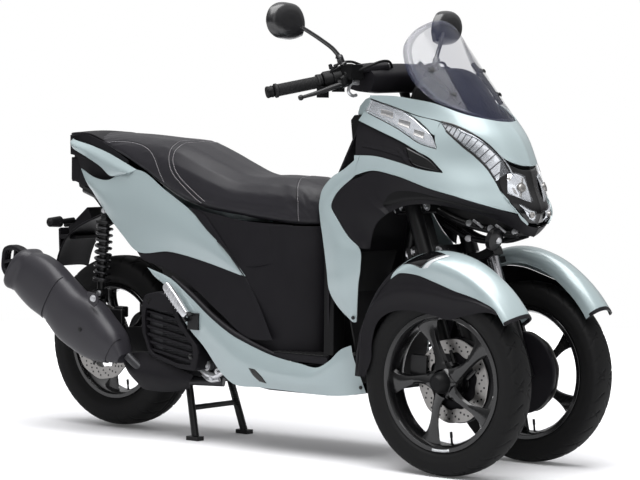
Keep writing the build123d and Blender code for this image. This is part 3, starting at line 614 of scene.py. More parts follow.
def intakePanels():
    # recessed black panel with a raised rib; at its front end the duct mouth is a glossy black sheet,
    # painted shade for the opening
    f = intakeForm
    depth = f["depth"]
    sunk = formPatch(frontLines["intakeTop"], frontLines["intakeLow"], 40, 12, depth)
    rib = formPatch(f["ribTop"], f["ribLow"], 20, 5, depth - 2)
    # painted shade: the duct's mouth is a dark sheet laid over the sunk panel, not an opening
    mouthShade = formPatch(f["mouthTop"], f["mouthLow"], 20, 6, depth - 1.5)
    bar = formPatch(f["barTop"], f["barLow"], 6, 12, depth - 4)
    addPiece("intakePanels", sheets((0, 1, 0), sunk, rib, bar), "charcoalPlastic",
             stands=("intake_panels",), wall=2, bevel=0.5)
    addPiece("intakeMouthShades", sheets((0, 1, 0), mouthShade), "glossBlack", wall=1)


signalForm = {"crown": 3, "bowlDepth": 6.5, "cups": ((0.88, 957), (0.79, 932), (0.70, 905)), "cupHalf": 0.03,
              "rim": 2.5}


def signalLamps():
    # clear cover over a silvered bowl with three bright reflectors in a row
    top, low = frontLines["signalTop"], frontLines["signalLow"]
    cover = formPatch(top, low, 40, 10, 0.5, crown=signalForm["crown"])
    bowl = formPatch(top, low, 30, 8, signalForm["bowlDepth"])
    half = signalForm["cupHalf"]
    addPiece("signalBowls", sheets((0, 1, 0), bowl), "lampSilver", wall=1)
    cups = []
    for turn, height in signalForm["cups"]:
        cups.append(formPatch(((turn + half, height + 11), (turn - half, height + 3)),
                              ((turn + half, height - 3), (turn - half, height - 14)), 8, 8, 4.5,
                              crown=-1.5))
    addPiece("signalCups", sheets((0, 1, 0), *cups), "discSteel", wall=1, bevel=0.4)
    rim = formPatch([(t, z + signalForm["rim"]) for t, z in top], top, 40, 3, -0.3)
    addPiece("signalRims", sheets((0, 1, 0), rim), "blackPlastic", wall=2)
    addPiece("signalCovers", sheets((0, 1, 0), cover), "clearLens", wall=1.5)


slitForm = {"depth": 8, "crown": 2, "guide": ((0.012, 5), (0.030, 13)), "ribs": range(4, 38, 3),
            "ribDepth": 6}


def slitLamps():
    # sweeping running lamps that widen into the headlamp: bowl, ribs, light guide, brow, sill and cover
    f = slitForm
    top, low = frontLines["slitTop"], frontLines["slitLow"][:6]
    bowl = formPatch(top, low, 40, 8, f["depth"])
    cover = formPatch(top, low, 40, 8, 1.0, crown=f["crown"])
    tubeTop, tubeLow = ([(t - aside, z - down) for t, z in top[1:]] for aside, down in f["guide"])
    guide = formPatch(tubeTop, tubeLow, 40, 5, 4, crown=2)
    addPiece("slitBowls", sheets((1, 1, 0), bowl), "lampSilver", wall=1)
    ends = np.stack([formLine(top, 40, f["ribDepth"]), formLine(low, 40, f["ribDepth"])])
    ribs = [formPoints(np.stack([ends[:, k], ends[:, k] - (0.006, 1, 0)])) for k in f["ribs"]]
    addPiece("slitRibs", sheets((1, 1, 0), *ribs), "framePaint", wall=1)
    brow = formPatch([(t, z + 2) for t, z in top], [(t - 0.004, z - 4) for t, z in top], 40, 3, -0.4)
    sill = formPatch([(t - 0.003, z + 3) for t, z in low[1:]], [(t + 0.004, z - 2) for t, z in low[1:]], 40,
                     3, -0.4)
    addPiece("slitBrows", sheets((1, 1, 0), brow, sill), "glossBlack", wall=1)
    addPiece("slitGuides", sheets((1, 1, 0), guide), "lampSilver", wall=1.5)
    addPiece("slitCovers", sheets((1, 1, 0), cover), "clearLens", wall=1.5)


headlamp = {
    "maskTop": ((0.24, 838), (0.21, 832), (0.12, 819), (0, 815)),
    "maskLow": ((0.285, 778), (0.285, 730), (0.235, 692), (0.15, 668), (0, 660)),
    "lensTop": ((0.226, 802), (0.16, 802), (0.10, 794)),
    "lensMid": ((0.266, 750), (0.18, 736), (0.095, 728)),
    "highTop": ((0.225, 722), (0.14, 706), (0.085, 702)),
    "highLow": ((0.18, 692), (0.12, 677), (0.075, 672)),
    # slanted vanes inside the lens, each between two pairs of (turn, height), and the round projectors
    "vanes": ((((0.238, 790), (0.22, 794)), ((0.225, 750), (0.208, 746))),
              (((0.13, 792), (0.112, 790)), ((0.20, 742), (0.185, 739)))),
    "eyes": ((0.165, 764, 13), (0.13, 692, 8)),
    # distance ahead and share of the projector's radius
    "eyeSteps": ((0, 1), (7, 1), (7.2, 0.86), (5, 0.84), (8, 0.6), (9, 0.3)), "eyeTip": (9.3, 0.5),
}


def headLamp():
    # black mask with two reflectors, vanes, round projectors and clear covers on each side
    h = headlamp
    mask = formPatch(h["maskTop"], h["maskLow"], 30, 20, 7)
    addPiece("lampMask", sheets((1, 0, 0), mask), "glossBlack", stands=("front_lamps",), wall=2)
    main = formPatch(h["lensTop"], h["lensMid"], 20, 12, 6, crown=5)
    high = formPatch(h["highTop"], h["highLow"], 18, 10, 6, crown=4)
    addPiece("lampReflectors", sheets((1, 0, 0), main, high), "lampSilver", wall=3, bevel=1)
    ribs = [formPatch(a, b, 3, 10, 1.5) for a, b in h["vanes"]]
    addPiece("lampVanes", sheets((1, 0, 0), *ribs), "discSteel",
             wall=2, bevel=0.5)
    eyes = []
    for turn, height, wide in h["eyes"]:
        centre, ahead = formPoints(np.array([(turn, height, 4.0), (turn, height, -6.0)]))
        ring = unit(ahead - centre)
        steps = [(k, wide * share) for k, share in h["eyeSteps"]] + [h["eyeTip"]]
        eyes.append(tube([centre + ring * k for k, r in steps], [r for k, r in steps], 28))
    addPiece("lampEyes", bothSides(*eyes), "discSteel")
    covers = [formPatch(h["lensTop"], h["lensMid"], 20, 12, -1),
              formPatch(h["highTop"], h["highLow"], 18, 10, -1)]
    addPiece("lampCover", sheets((1, 0, 0), *covers), "clearLens",
             wall=1.5)


bandRear = {  # charcoal band where it runs down beside the leg shield, from its foot up
    "outer": ((458, 213, 592), (424, 217, 621), (386, 219, 668), (364, 220, 703), (374, 219, 731),
              (393, 217, 752), (424, 213, 777)),
    "inner": ((480, 196, 590), (484, 197, 616), (492, 200, 640), (502, 203, 655), (514, 205, 668),
              (526, 205, 678), (540, 204, 687)),
}
bandForm = {
    "top": ((0.97, 785), (0.92, 799), (0.82, 789), (0.66, 753), (0.56, 736), (0.51, 726), (0.38, 704),
            (0.24, 688), (0.15, 666), (0, 656)),
    "low": ((0.89, 690, 14), (0.82, 708, 20), (0.76, 714, 24), (0.66, 712, 26), (0.59, 704, 26),
            (0.49, 686, 24), (0.38, 668, 20), (0.26, 652, 14), (0.15, 640, 9), (0, 630, 5)),
    "swell": 7, "away": (0.25, 1, 0),
}


def archBand():
    # band over the wheel arches: it meets the painted panels above and turns in to the arch below
    a = formPoints(formLine(bandForm["top"], 70))
    b = formPoints(formLine(bandForm["low"], 70))
    outer = np.concatenate((follow(bandRear["outer"], 34)[:-1], a))
    inner = np.concatenate((follow(bandRear["inner"], 34)[:-1], b))
    share = np.linspace(0, 1, 14)[None, :, None]
    grid = outer[:, None] * (1 - share) + inner[:, None] * share
    away = np.array(bandForm["away"]) * np.linspace(1, 0.2, len(outer))[:, None]
    grid = grid + np.sin(math.pi * share) * bandForm["swell"] * away[:, None]
    return addPiece("archBand", sheets((0, 1, 0), grid), "charcoalPlastic", stands=("nose_trim",), wall=4,
                    bevel=1)


legRows = (  # outer edge, crown and inner edge of the painted leg shield, from the cowl down
    ((447, 207, 841), (440, 211, 815), (436, 213, 788)),
    ((404, 212, 808), (418, 215, 792), (426, 213.5, 779)),
    ((356, 217, 778), (374, 220, 763), (391, 217.5, 751)),
    ((329, 220, 745), (350, 223, 735), (372, 219.5, 729)),
    ((320, 221, 708), (342, 225, 704), (362, 220.5, 702)),
    ((323, 221, 672), (352, 226, 668), (384, 219.5, 667)),
    ((332, 220, 620), (374, 226, 620), (422, 217.5, 620)),
    ((338, 219, 582), (395, 227, 586), (456, 214, 591)),
    ((345, 217, 530), (402, 226, 536), (459, 213, 540)),
    ((353, 215, 474), (404, 224, 484), (452, 212, 496)),
    ((385, 208, 424), (414, 213, 428), (444, 206, 433)),
    ((424, 201, 390), (431, 202, 389), (438, 200, 390)),
)


legForm = {
    "post": ((316, 350), (140, 190), (292, 640)),
    "cheek": ((372, 936), (384, 950), (423, 952), (436, 900), (433, 846), (382, 848)),
    "cheekAcross": (138, 152),
    "lampEnd": ((392, 957), (398, 975), (416, 993), (437, 1001), (437, 944), (392, 950)),
    "lampEndAcross": (132, 146),
    "screw": (432, 208, 402),
}


def legShields():
    # painted shields with a dark post behind them; cheek and lamp end close the nose towards the rider
    f = legForm
    fills = [block(*f["post"]), slab(f["cheek"], *f["cheekAcross"])]
    addPiece("legFillers", bothSides(*fills), "blackPlastic", bevel=2)
    addPiece("slitEnds", bothSides(slab(f["lampEnd"], *f["lampEndAcross"])), "bodyPaint", bevel=3)
    addPiece("legShields", sheets((0, 1, 0), net(legRows, 80, 14)), "bodyPaint", stands=("leg_shields",),
             wall=panelFit["wall"], bevel=panelFit["bevel"])
    addPiece("legScrews", bothSides(bolt(f["screw"], (0.2, 1, 0), 4, 2)), "framePaint", bevel=0.3)


screenForm = {
    "radius": 170, "foot": (790, 925), "top": (555, 1212), "wall": 3.5, "middle": 1062,
    "outline": ((0, 934), (60, 938), (112, 962), (146, 988), (157, 1030), (154, 1093), (139, 1140),
                (108, 1174), (60, 1198), (0, 1209)),
    "bevelShare": 0.925, "screws": ((-118, 1073), (-105, 1009)),
    "strip": ((-124, 1092), (-116, 1062), (-104, 1020), (-95, 985)), "stripRadius": 7,
}


def screenPoint(y, z, proud=0):
    # slice of a leaning pipe: x = its middle at z + sqrt(radius^2 - y^2)
    s = screenForm
    y, z = np.asarray(y, float), np.asarray(z, float)
    (footX, footZ), (topX, topZ) = s["foot"], s["top"]
    centre = footX - s["radius"] + (topX - footX) * (z - footZ) / (topZ - footZ)
    x = centre + np.sqrt((s["radius"] + proud) ** 2 - y**2)
    return np.stack([x, y, z], axis=-1)


def windScreen():
    # smoked sheet with a bevelled rim, two screws a side and the brackets behind them
    s = screenForm
    half = np.array(s["outline"], float)
    whole = np.concatenate((half, (half[1:-1] * (-1, 1))[::-1], half[:1]))
    middle = np.array([0, s["middle"]])
    edge = follow(whole, 120)[None, :-1] - middle
    flat = middle + edge * np.linspace(0, 1, 16)[:, None, None]
    pane = gridForm(screenPoint(flat[..., 0], flat[..., 1]), closeColumns=True)
    addPiece("windscreen", [facing(pane, (1, 0, 0.4))], "smokedGlass", stands=("windscreen",),
             wall=s["wall"])
    ring = middle + edge * np.linspace(s["bevelShare"], 1, 3)[:, None, None]
    rim = gridForm(screenPoint(ring[..., 0], ring[..., 1], 0.6), closeColumns=True)
    addPiece("screenBevel", [facing(rim, (1, 0, 0.4))], "smokedGlass", wall=0.8)
    heads = [bolt(screenPoint(y, z, 1), (0.7, y / 150, 0.6), 5.5, 3, 8) for y, z in s["screws"]]
    legs = []
    for y, z in s["screws"]:
        at = screenPoint(y, z, -6)
        legs.append(tube([at + (-16, 0, -16), at + (-4, 0, -4), at + (2, 0, 2)], [5, 7, 8], 12))
    legs.append(tube(follow([screenPoint(y, z, -12) for y, z in s["strip"]], 24), s["stripRadius"], 8))
    addPiece("screenScrews", bothSides(*heads), "framePaint", bevel=0.4)
    addPiece("screenBrackets", bothSides(*legs), "blackPlastic")


# ---------- front fenders: sections across the tyre at angles from straight back over the top
fenderForm = {
    "axle": (740, 192.5, 250), "inner": -46, "outer": 58, "wall": 3,
    # angle, radius of the crown, of the seam between paint and skirt, of the skirt's ridge and low edge
    "sections": ((0, 290, 268, 250, 236), (12, 296, 268, 250, 222), (25, 303, 280, 268, 236),
                 (40, 316, 290, 284, 246), (50, 329, 302, 278, 234), (62, 341, 314, 260, 212),
                 (75, 346, 294, 242, 190), (88, 345, 268, 232, 177), (103, 335, 254, 230, 174),
                 (120, 320, 264, 252, 216), (132, 313, 278, 272, 262), (143, 308, 286, 284, 282)),
    # shares of the way out along the section and the angles there at which the paint starts; patch's corners
    "ramp": (0, 0.4, 1), "paintFrom": (75.5, 75.5, 60.5), "patch": ((81, 68.5), (91, 81)),
    # the patch's first column and width, how far it slants outwards, the stripe's gap and width in degrees
    "patchColumns": (14.5, 12), "patchShift": 3, "patchProud": 1.6, "stripe": (0.6, 2.2),
    "lip": (141.4, 143.3), "lipProud": 1.2,
}


def fenderLines(kind, count):
    # line of (offset across, radius) points at every whole angle, smooth between the table's angles
    f = fenderForm
    table = np.array(f["sections"], float)
    lines = []
    for crown, seam, ridge, low in curveThrough(table[:, 0], table[:, 1:], np.arange(144)):
        edge = f["outer"]
        if kind == "crown":
            line = [(f["inner"], crown - 45), (f["inner"] + 1, crown - 20), (f["inner"] + 14, crown - 5),
                    (-12, crown + 1), (12, crown - 3), (38, crown - 14), (edge - 5, crown - 24),
                    (edge, min(crown - 32, seam + 4)), (edge, min(crown - 34, seam))]
        else:
            line = [(edge - 1.5, seam - 1), (edge - 1, (seam + ridge) / 2), (edge + 3, ridge + 1),
                    (edge + 2, ridge - 3), (edge - 4, (low + ridge) / 2), (edge - 6, low)]
        lines.append(follow(line, count))
    return np.array(lines)


def fenderPoints(lines, angles, side, proud=0, across=None):
    # one row of angles for each row of points; across picks places along the section, by default all in turn
    if across is None:
        across = np.arange(lines.shape[1])[None, :] + 0 * angles
    across = np.clip(across, 0, lines.shape[1] - 1.001)
    low, column = np.floor(angles).astype(int), np.floor(across).astype(int)
    low = np.clip(low, 0, 142)
    share, aside = (angles - low)[..., None], (across - column)[..., None]
    near = lines[low, column] * (1 - share) + lines[low + 1, column] * share
    far = lines[low, column + 1] * (1 - share) + lines[low + 1, column + 1] * share
    spots = near * (1 - aside) + far * aside
    a = np.radians(angles)
    x, y, z = fenderForm["axle"]
    radius = spots[..., 1] + proud
    return np.stack([x - radius * np.cos(a), side * (y + spots[..., 0]), z + radius * np.sin(a)], axis=-1)


def between(first, last, along):
    # rows of angles that run from one line of angles to another
    share = np.linspace(0, 1, along)[:, None]
    return first * (1 - share) + last * share


def fenders():
    # painted crown, dark skirt and rear part, lip, and the dark patch with its pale stripe
    f = fenderForm
    count = 34
    crown, skirt = fenderLines("crown", count), fenderLines("skirt", 16)
    ramp = np.linspace(0, 1, count)
    seamAt = np.interp(ramp, f["ramp"], f["paintFrom"])
    for name, side in (("left", 1), ("right", -1)):
        body = name + "_fork"
        top = fenderPoints(crown, between(seamAt + 0.4, np.full(count, 143.0), 70), side)
        rear = fenderPoints(crown, between(np.zeros(count), seamAt, 60), side)
        lower = fenderPoints(skirt, between(np.zeros(16), np.full(16, 135.0), 110), side)
        addPiece("fender" + name.title(), [sheet(top, (-0.1, side, 1))], "bodyPaint", body,
                 ("fender_" + name,), wall=f["wall"], bevel=0.8)
        addPiece("fenderSkirt" + name.title(),
                 [sheet(rear, (-1, side, 0.8)), sheet(lower, (0, side, 0))],
                 "charcoalPlastic", body, ("fender_skirt_" + name,), wall=f["wall"], bevel=0.8)
        start, end = (np.full(count, angle) for angle in f["lip"])
        lip = fenderPoints(crown, between(start, end, 3), side, f["lipProud"])
        addPiece("fenderLip" + name.title(), [sheet(lip, (1, side, 1))], "charcoalPlastic", body,
                 wall=5, bevel=0.6)
        share = np.linspace(0, 1, 15)[None, :]
        depth = np.linspace(0, 1, 12)[:, None]
        (inFirst, outFirst), (inLast, outLast) = f["patch"]
        first, last = inFirst + (outFirst - inFirst) * share, inLast + (outLast - inLast) * share
        proud, shift = f["patchProud"], f["patchShift"]
        columns = f["patchColumns"][0] + f["patchColumns"][1] * share
        dark = fenderPoints(crown, first + (last - first) * depth, side, proud, columns + shift * depth)
        edge = last + f["stripe"][0] + f["stripe"][1] * depth[::5] / depth[::5].max()
        pale = fenderPoints(crown, edge, side, proud, columns + shift + 0 * edge)
        addPiece("fenderPatch" + name.title(), [sheet(dark, (-0.1, side, 1))], "glossBlack", body,
                 wall=0.8)
        addPiece("fenderStripe" + name.title(), [sheet(pale, (-0.1, side, 1))], "paleLine", body,
                 wall=0.8)


# ---------- wheels
wheelTable = {  # axle, tyre radius, half width, bead radius, rim half width, body, CAD name, outboard side
    "Left": ((740, 192.5, 250), 250, 45, 178, 36, "left_wheel", "left", 1),
    "Right": ((740, -192.5, 250), 250, 45, 178, 36, "right_wheel", "right", -1),
    "Rear": ((-610, 0, 261), 256, 65, 166, 50, "rear_wheel", "rear", -1),
}
treadCut = {"depth": 2.6, "width": 2.6, "pitch": 26, "count": 640}


def tyreForm(axle, radius, half, bead, rimHalf, front):
    # round tyre with bead, shoulder and crown; slanted grooves are cut in, on the rear one also two lines
    shoulder = bead + 8 + 0.50 * (radius - bead)
    side = [(bead, rimHalf - 4), (bead + 8.4, rimHalf - 3.4), (bead + 14, rimHalf + 1),
            (bead + 26, half - 3.5), (shoulder - 8, half - 0.4), (shoulder + 6, half - 0.6)]
    turn = np.linspace(math.radians(24), math.pi / 2, 12)
    crownLow = shoulder + 6
    arc = [(crownLow + (radius - crownLow) * math.sin(a) ** 0.9, half * math.cos(a) ** 0.8) for a in turn]
    profile = np.array(side + arc[:-1] + [(radius, 0)], float)
    smooth = follow(np.concatenate((profile, (profile[:-1] * (1, -1))[::-1])), 70)
    line = np.concatenate((smooth, [(bead, 0)]))
    pitch, width = treadCut["pitch"], treadCut["width"]
    around = fullTurn(treadCut["count"])[:, None]
    across = line[None, :, 1]
    reach = line[None, :, 0] + 0 * around
    length = around * radius
    share = np.clip((line[None, :, 0] - crownLow) / (radius - crownLow), 0, 1)
    slant = np.abs(across) / half
    lead = 42 if front else 34
    wave = (length + lead * slant**1.4 + np.where(across > 0, 0.5, 0) * pitch * 2) % (pitch * 2)
    groove = np.exp(-((wave - pitch) / width) ** 4) * (slant > 0.14) * (share > 0.04)
    second = (length - lead * 0.6 * slant + pitch) % (pitch * 4)
    cross = np.exp(-((second - pitch) / width) ** 4) * (slant > 0.3) * (slant < 0.8) * (share > 0.3)
    rib = np.exp(-((np.abs(across) - 0.10 * half) / 1.6) ** 4) * (0 if front else 1)
    reach = reach - treadCut["depth"] * np.clip(groove + cross + rib, 0, 1)
    ring = np.where(np.abs(line[None, :, 0] - (bead + 17)) < 1.6, 0.7, 0)
    y = axle[1] + across * (1 + 0 * around) + np.sign(across) * ring
    grid = np.stack([axle[0] + reach * np.cos(around), y, axle[2] + reach * np.sin(around)], axis=-1)
    return gridForm(grid, closeRows=True, closeColumns=True)


bladeForm = {
    # degrees it sweeps and swings back, half width at the hub, what the middle loses and the rim gains
    "sweep": 15, "back": 6, "width": 24, "waist": 13, "flare": 13, "thinner": 0.45, "lean": 0.75,
    "ring": ((-1, -0.5), (-0.75, 0.5), (-0.2, 0.75), (0.55, 0.5), (1, -0.1), (0.85, -0.8), (0, -1),
             (-0.8, -0.9)),
}


def spoke(axle, inner, outer, side, angle, depth):
    # blade from hub to rim: it sweeps sideways and leans as it goes out, wide at both ends
    share = np.linspace(0, 1, 14)
    radius = inner + (outer - inner) * share
    b = bladeForm
    swing = np.radians(angle + b["sweep"] * np.sin(share * math.pi / 2) ** 1.5 - b["back"] * share)
    width = b["width"] - b["waist"] * np.sin(share * math.pi) ** 0.8 + b["flare"] * share**3
    thick = depth * (1 - b["thinner"] * share)
    lean = b["lean"] * (1 - share)
    out = side * (16 - 9 * share + 8 * share**2)
    ring = np.array(b["ring"])
    w = ring[None, :, 0] * width[:, None]
    h = ring[None, :, 1] * thick[:, None] / 2 + ring[None, :, 0] * width[:, None] * lean[:, None] * 0.5
    x = axle[0] + radius[:, None] * np.cos(swing[:, None]) - w * np.sin(swing[:, None])
    z = axle[2] + radius[:, None] * np.sin(swing[:, None]) + w * np.cos(swing[:, None])
    y = axle[1] + out[:, None] + side * h
    return bodyForm(np.stack([x, y, z], axis=-1))


def rimForm(axle, bead, rimHalf):
    # closed profile of the rim: flange, bead seat and drop centre, outside and inside
    lip = bead + 8
    inside = bead - 9
    profile = ((inside + 5, rimHalf), (lip - 1.5, rimHalf), (lip, rimHalf - 1.2), (lip, rimHalf - 3),
               (bead, rimHalf - 4.2), (bead - 1, rimHalf - 11), (bead - 5, rimHalf - 17),
               (bead - 5, -rimHalf + 17), (bead - 1, -rimHalf + 11), (bead, -rimHalf + 4.2),
               (lip, -rimHalf + 3), (lip, -rimHalf + 1.2), (lip - 1.5, -rimHalf), (inside + 5, -rimHalf),
               (inside, -rimHalf + 8), (inside - 4, -rimHalf + 20), (inside - 4, rimHalf - 20),
               (inside, rimHalf - 8))
    return lathe(profile, axle, 128, closed=True)


rimForms = {"spokes": 5, "spokeFrom": 34, "spokeDepth": 26, "firstSpoke": 30, "valveAngle": -84,
            "strip": (-97, -79)}


def wheels():
    # tyre, five-spoked rim with its hub, valve, hub cap and a pale strip on the front rims
    f = rimForms
    for name, (axle, radius, half, bead, rimHalf, body, cad, side) in wheelTable.items():
        front = name != "Rear"
        addPiece("tyre" + name, [tyreForm(axle, radius, half, bead, rimHalf, front)], "tyreRubber", body,
                 ("tyre_" + cad,), crease=50)
        parts = [rimForm(axle, bead, rimHalf)]
        reach = 36 if front else 76
        bore = 11 if front else 12
        hub = ((bore, reach), (20, reach), (24, reach - 3), (26, 24), (38, 18), (40, 10), (40, -10),
               (38, -18), (30, -24), (27, -reach + 3), (24, -reach), (bore, -reach))
        parts.append(lathe(hub, axle, 48, closed=True))
        for k in range(f["spokes"]):
            angle = 360 / f["spokes"] * k + f["firstSpoke"]
            parts.append(spoke(axle, f["spokeFrom"], bead - 11, side, angle, f["spokeDepth"]))
        at = np.array(axle, float)
        addPiece("rim" + name, parts, "wheelPaint", body, ("rim_" + cad,), bevel=0.8)
        angle = math.radians(f["valveAngle"])
        d = np.array([math.cos(angle), 0, math.sin(angle)])
        stem = tube([at + d * (bead - inwards) for inwards in (5, 14, 15, 34)], [5, 4.5, 3, 2.6], 10)
        capTube = tube([at + d * (bead - inwards) for inwards in (30, 44, 46)], [3.8, 3.8, 2.5], 10)
        addPiece("valve" + name, [stem, capTube], "blackPlastic", body)
        if front:
            cap = ((0, reach + 19), (15, reach + 19), (22, reach + 14), (28, reach + 2), (30, reach - 8),
                   (0, reach - 8))
            outer = [(r, side * a) for r, a in cap]
            addPiece("hubCap" + name, [lathe(outer, axle, 40)], "blackPlastic", body, bevel=0.5)
            arc = np.radians(np.linspace(*f["strip"], 14))[:, None]
            r = np.array([bead - 1.5, bead + 5.0])[None, :]
            y = np.array([rimHalf + 0.5, rimHalf + 0.5])[None, :] + 0 * arc
            strip = np.stack([axle[0] + r * np.cos(arc), axle[1] + side * y, axle[2] + r * np.sin(arc)],
                             axis=-1)
            addPiece("rimStrip" + name, [sheet(strip, (0, side, 0))], "paleLine", body,
                     wall=0.4)
        else:
            cap = ((0, -88), (10, -88), (15, -85), (15, -78), (0, -78))
            addPiece("hubCap" + name, [lathe(cap, axle, 32)], "framePaint", body)


discTable = {  # middle, wheel body, CAD name, half thickness
    "Left": ((740, 192.5 - 26, 250), "left_wheel", "left", 2),
    "Right": ((740, -192.5 + 26, 250), "right_wheel", "right", 2),
    "Rear": ((-610, -90.5, 261), "rear_wheel", "rear", 2.5),
}
discForm = {"outer": 112, "outerWave": 1.2, "inner": 76, "innerWave": 2.5, "waves": 10, "holeShades": 60,
            "holeRadius": 3.1, "holeRows": (86, 94, 102), "arms": 5, "firstArm": 12,
            "armTwist": 0.22, "armReach": (48, 82), "armRadii": (8, 5.5), "hub": (40, 52)}


def brakeDiscs():
    # wave-edged rotor on a five-armed carrier; its drilled rows are glossy black plugs, painted shade for
    # the holes
    d = discForm
    for name, (axle, body, cad, half) in discTable.items():
        turn = fullTurn(240)[:, None]
        outer = d["outer"] + d["outerWave"] * np.sin(turn * d["waves"])
        inner = d["inner"] + d["innerWave"] * np.sin(turn * d["waves"])
        reach = np.concatenate((inner, outer, outer, inner), axis=1)
        y = np.array([[half, half, -half, -half]]) + 0 * turn
        grid = np.stack([axle[0] + reach * np.cos(turn), axle[1] + y, axle[2] + reach * np.sin(turn)],
                        axis=-1)
        addPiece("rotor" + name, [gridForm(grid, True, True)], "discSteel", body, ("disc_" + cad,),
                 bevel=0.3)
        # painted shade: the holes are not cut; glossy black plugs stand for the dark seen through them
        holeShades = []
        wide, deep = d["holeRadius"], half + 0.25
        for k in range(d["holeShades"]):
            a = 2 * math.pi * k / d["holeShades"]
            r = d["holeRows"][k % 3]
            at = (axle[0] + r * math.cos(a), axle[1], axle[2] + r * math.sin(a))
            holeShades.append(lathe(((0, deep), (wide, deep), (wide, -deep), (0, -deep)), at, 8))
        addPiece("rotorHoleShades" + name, holeShades, "glossBlack", body)
        (low, high), edge = d["hub"], half + 0.5
        hub = ((low, edge), (high, edge), (high, -edge), (low, -edge))
        arms = [lathe(hub, axle, 48, closed=True)]
        for k in range(d["arms"]):
            a = math.radians(360 / d["arms"] * k + d["firstArm"])
            ends = [(axle[0] + r * math.cos(t), axle[1], axle[2] + r * math.sin(t))
                    for r, t in zip(d["armReach"], (a, a + d["armTwist"]))]
            arms.append(tube(ends, d["armRadii"], 8, (0, 1, 0)))
        addPiece("rotorHub" + name, arms, "glossBlack", body, bevel=0.4)


# ---------- lower sides, floor and rear body
def sidePanel(name, rows, along, across, finish="charcoalPlastic", stands=(), wall=3.5, bevel=0.9,
              smooth=True):
    # panel of each side through rows of points
    grid = net(rows, across, along, smooth)
    return addPiece(name, sheets((0, 1, 0), grid), finish, stands=stands, wall=wall, bevel=bevel)


skirtRows = (  # upper edge, swell, lower edge, from the tail to the front
    ((-367, 165, 499), (-270, 172, 472), (-185, 180, 423), (-89, 188, 363), (-20, 192, 328), (55, 195, 301),
     (140, 198, 278), (239, 198, 263), (303, 198, 257), (344, 198, 279), (378, 189, 312), (402, 177, 323)),
    ((-356, 167, 492), (-264, 175, 461), (-192, 183, 410), (-100, 190, 345), (-32, 196, 308), (30, 200, 282),
     (115, 203, 256), (215, 203, 243), (290, 203, 240), (342, 202, 262), (380, 190, 285), (406, 174, 296)),
    ((-335, 168, 474), (-252, 178, 436), (-202, 184, 386), (-114, 189, 318), (-44, 196, 268), (12, 201, 240),
     (98, 204, 220), (200, 204, 213), (284, 203, 212), (340, 199, 222), (386, 184, 240), (418, 163, 250)),
    ((-303, 166, 456), (-232, 175, 413), (-206, 181, 356), (-126, 183, 282), (-52, 186, 209),
     (-16, 189, 189), (90, 192, 185), (200, 192, 183), (280, 191, 181), (340, 189, 181), (394, 178, 185),
     (436, 152, 193)),
)
coverStations = (  # height, then (x, y) from the middle of the front round to the side
    (285, ((262, 0), (258, 60), (243, 108), (175, 145), (110, 164), (40, 180))),
    (380, ((263, 0), (259, 58), (246, 104), (180, 146), (104, 162), (26, 176))),
    (470, ((262, 0), (258, 56), (245, 100), (184, 144), (98, 158), (12, 170))),
    (560, ((251, 0), (247, 54), (234, 98), (170, 136), (60, 151), (-64, 162))),
    (638, ((238, 0), (234, 52), (220, 94), (150, 129), (0, 140), (-150, 150))),
)
skirtForm = {
    "ventShade": (((58, 204.6, 238), (82, 205, 236)), ((76, 204.8, 218), (108, 204.2, 216)),
             ((96, 201.6, 203), (120, 200.6, 199))),
    "screws": ((426, 163, 208), (410, 172, 300)),
}


def sideSkirts():
    # painted skirts, a leaf-shaped glossy black sheet as painted shade for the vent, and two screws
    sidePanel("sideSkirts", skirtRows, 84, 20, "bodyPaint", ("side_skirts",))
    # painted shade: the vent is a dark sheet on the skirt, standing for the shade inside its opening
    addPiece("skirtVentShades", sheets((0, 1, 0), net(skirtForm["ventShade"], 14, 6)), "glossBlack", wall=1.5)
    screws = [bolt(spot, (0.3, 1, 0), 4, 2) for spot in skirtForm["screws"]]
    addPiece("skirtScrews", bothSides(*screws), "framePaint")


coverPanels = {  # rows of each panel from above down, each from the rear to the front
    "wing": (((-436, 138, 545), (-291, 148.6, 546), (-148, 156.6, 524), (-40, 164, 501), (0, 167, 491),
              (16, 169, 485)),
             ((-418, 145, 532), (-275, 155, 516), (-158, 163, 484), (-30, 172, 440), (30, 174, 440),
              (62, 173, 422)),
             ((-400, 150, 520), (-262, 160, 484), (-170, 168, 440), (-75, 178, 384), (50, 184, 318),
              (124, 180, 318))),
    "underSeat": (((-212, 152, 678), (-150, 154, 668), (0, 146, 646), (150, 128, 640)),
                  ((-150, 157, 624), (-90, 158, 600), (10, 154, 590), (150, 134, 600)),
                  ((-64, 163, 566), (0, 163, 520), (30, 162, 520), (130, 146, 540))),
    "knee": (((-212, 155, 678), (-190, 156.5, 672), (-165, 157, 664), (-148, 157, 656)),
             ((-150, 160, 624), (-130, 161, 618), (-110, 161.5, 610), (-92, 161.5, 600)),
             ((-64, 166, 566), (-40, 167, 545), (-8, 168.5, 512), (16, 169.5, 487))),
}


def centreCover():
    # cover between the knees: level lines round the front, cut along the seat and the tail
    levels = np.array([z for z, line in coverStations], float)
    lines = np.array([follow(line, 40) for z, line in coverStations])
    heights = np.linspace(levels[0] + 1, levels[-1], 36)
    flat = curveThrough(levels, lines, heights)
    grid = np.concatenate((flat, np.broadcast_to(heights[:, None, None], flat.shape[:2] + (1,))), axis=-1)
    addPiece("centreCover", sheets((1, 1, 0), grid), "charcoalPlastic", stands=("seat_cover",), wall=3.5,
             bevel=0.9)
    sidePanel("sidePanels", coverPanels["wing"], 60, 18, "charcoalPlastic", ("side_panels",))
    sidePanel("seatSidePanels", coverPanels["underSeat"], 40, 14, wall=3)
    sidePanel("kneeEdges", coverPanels["knee"], 20, 30, wall=3)


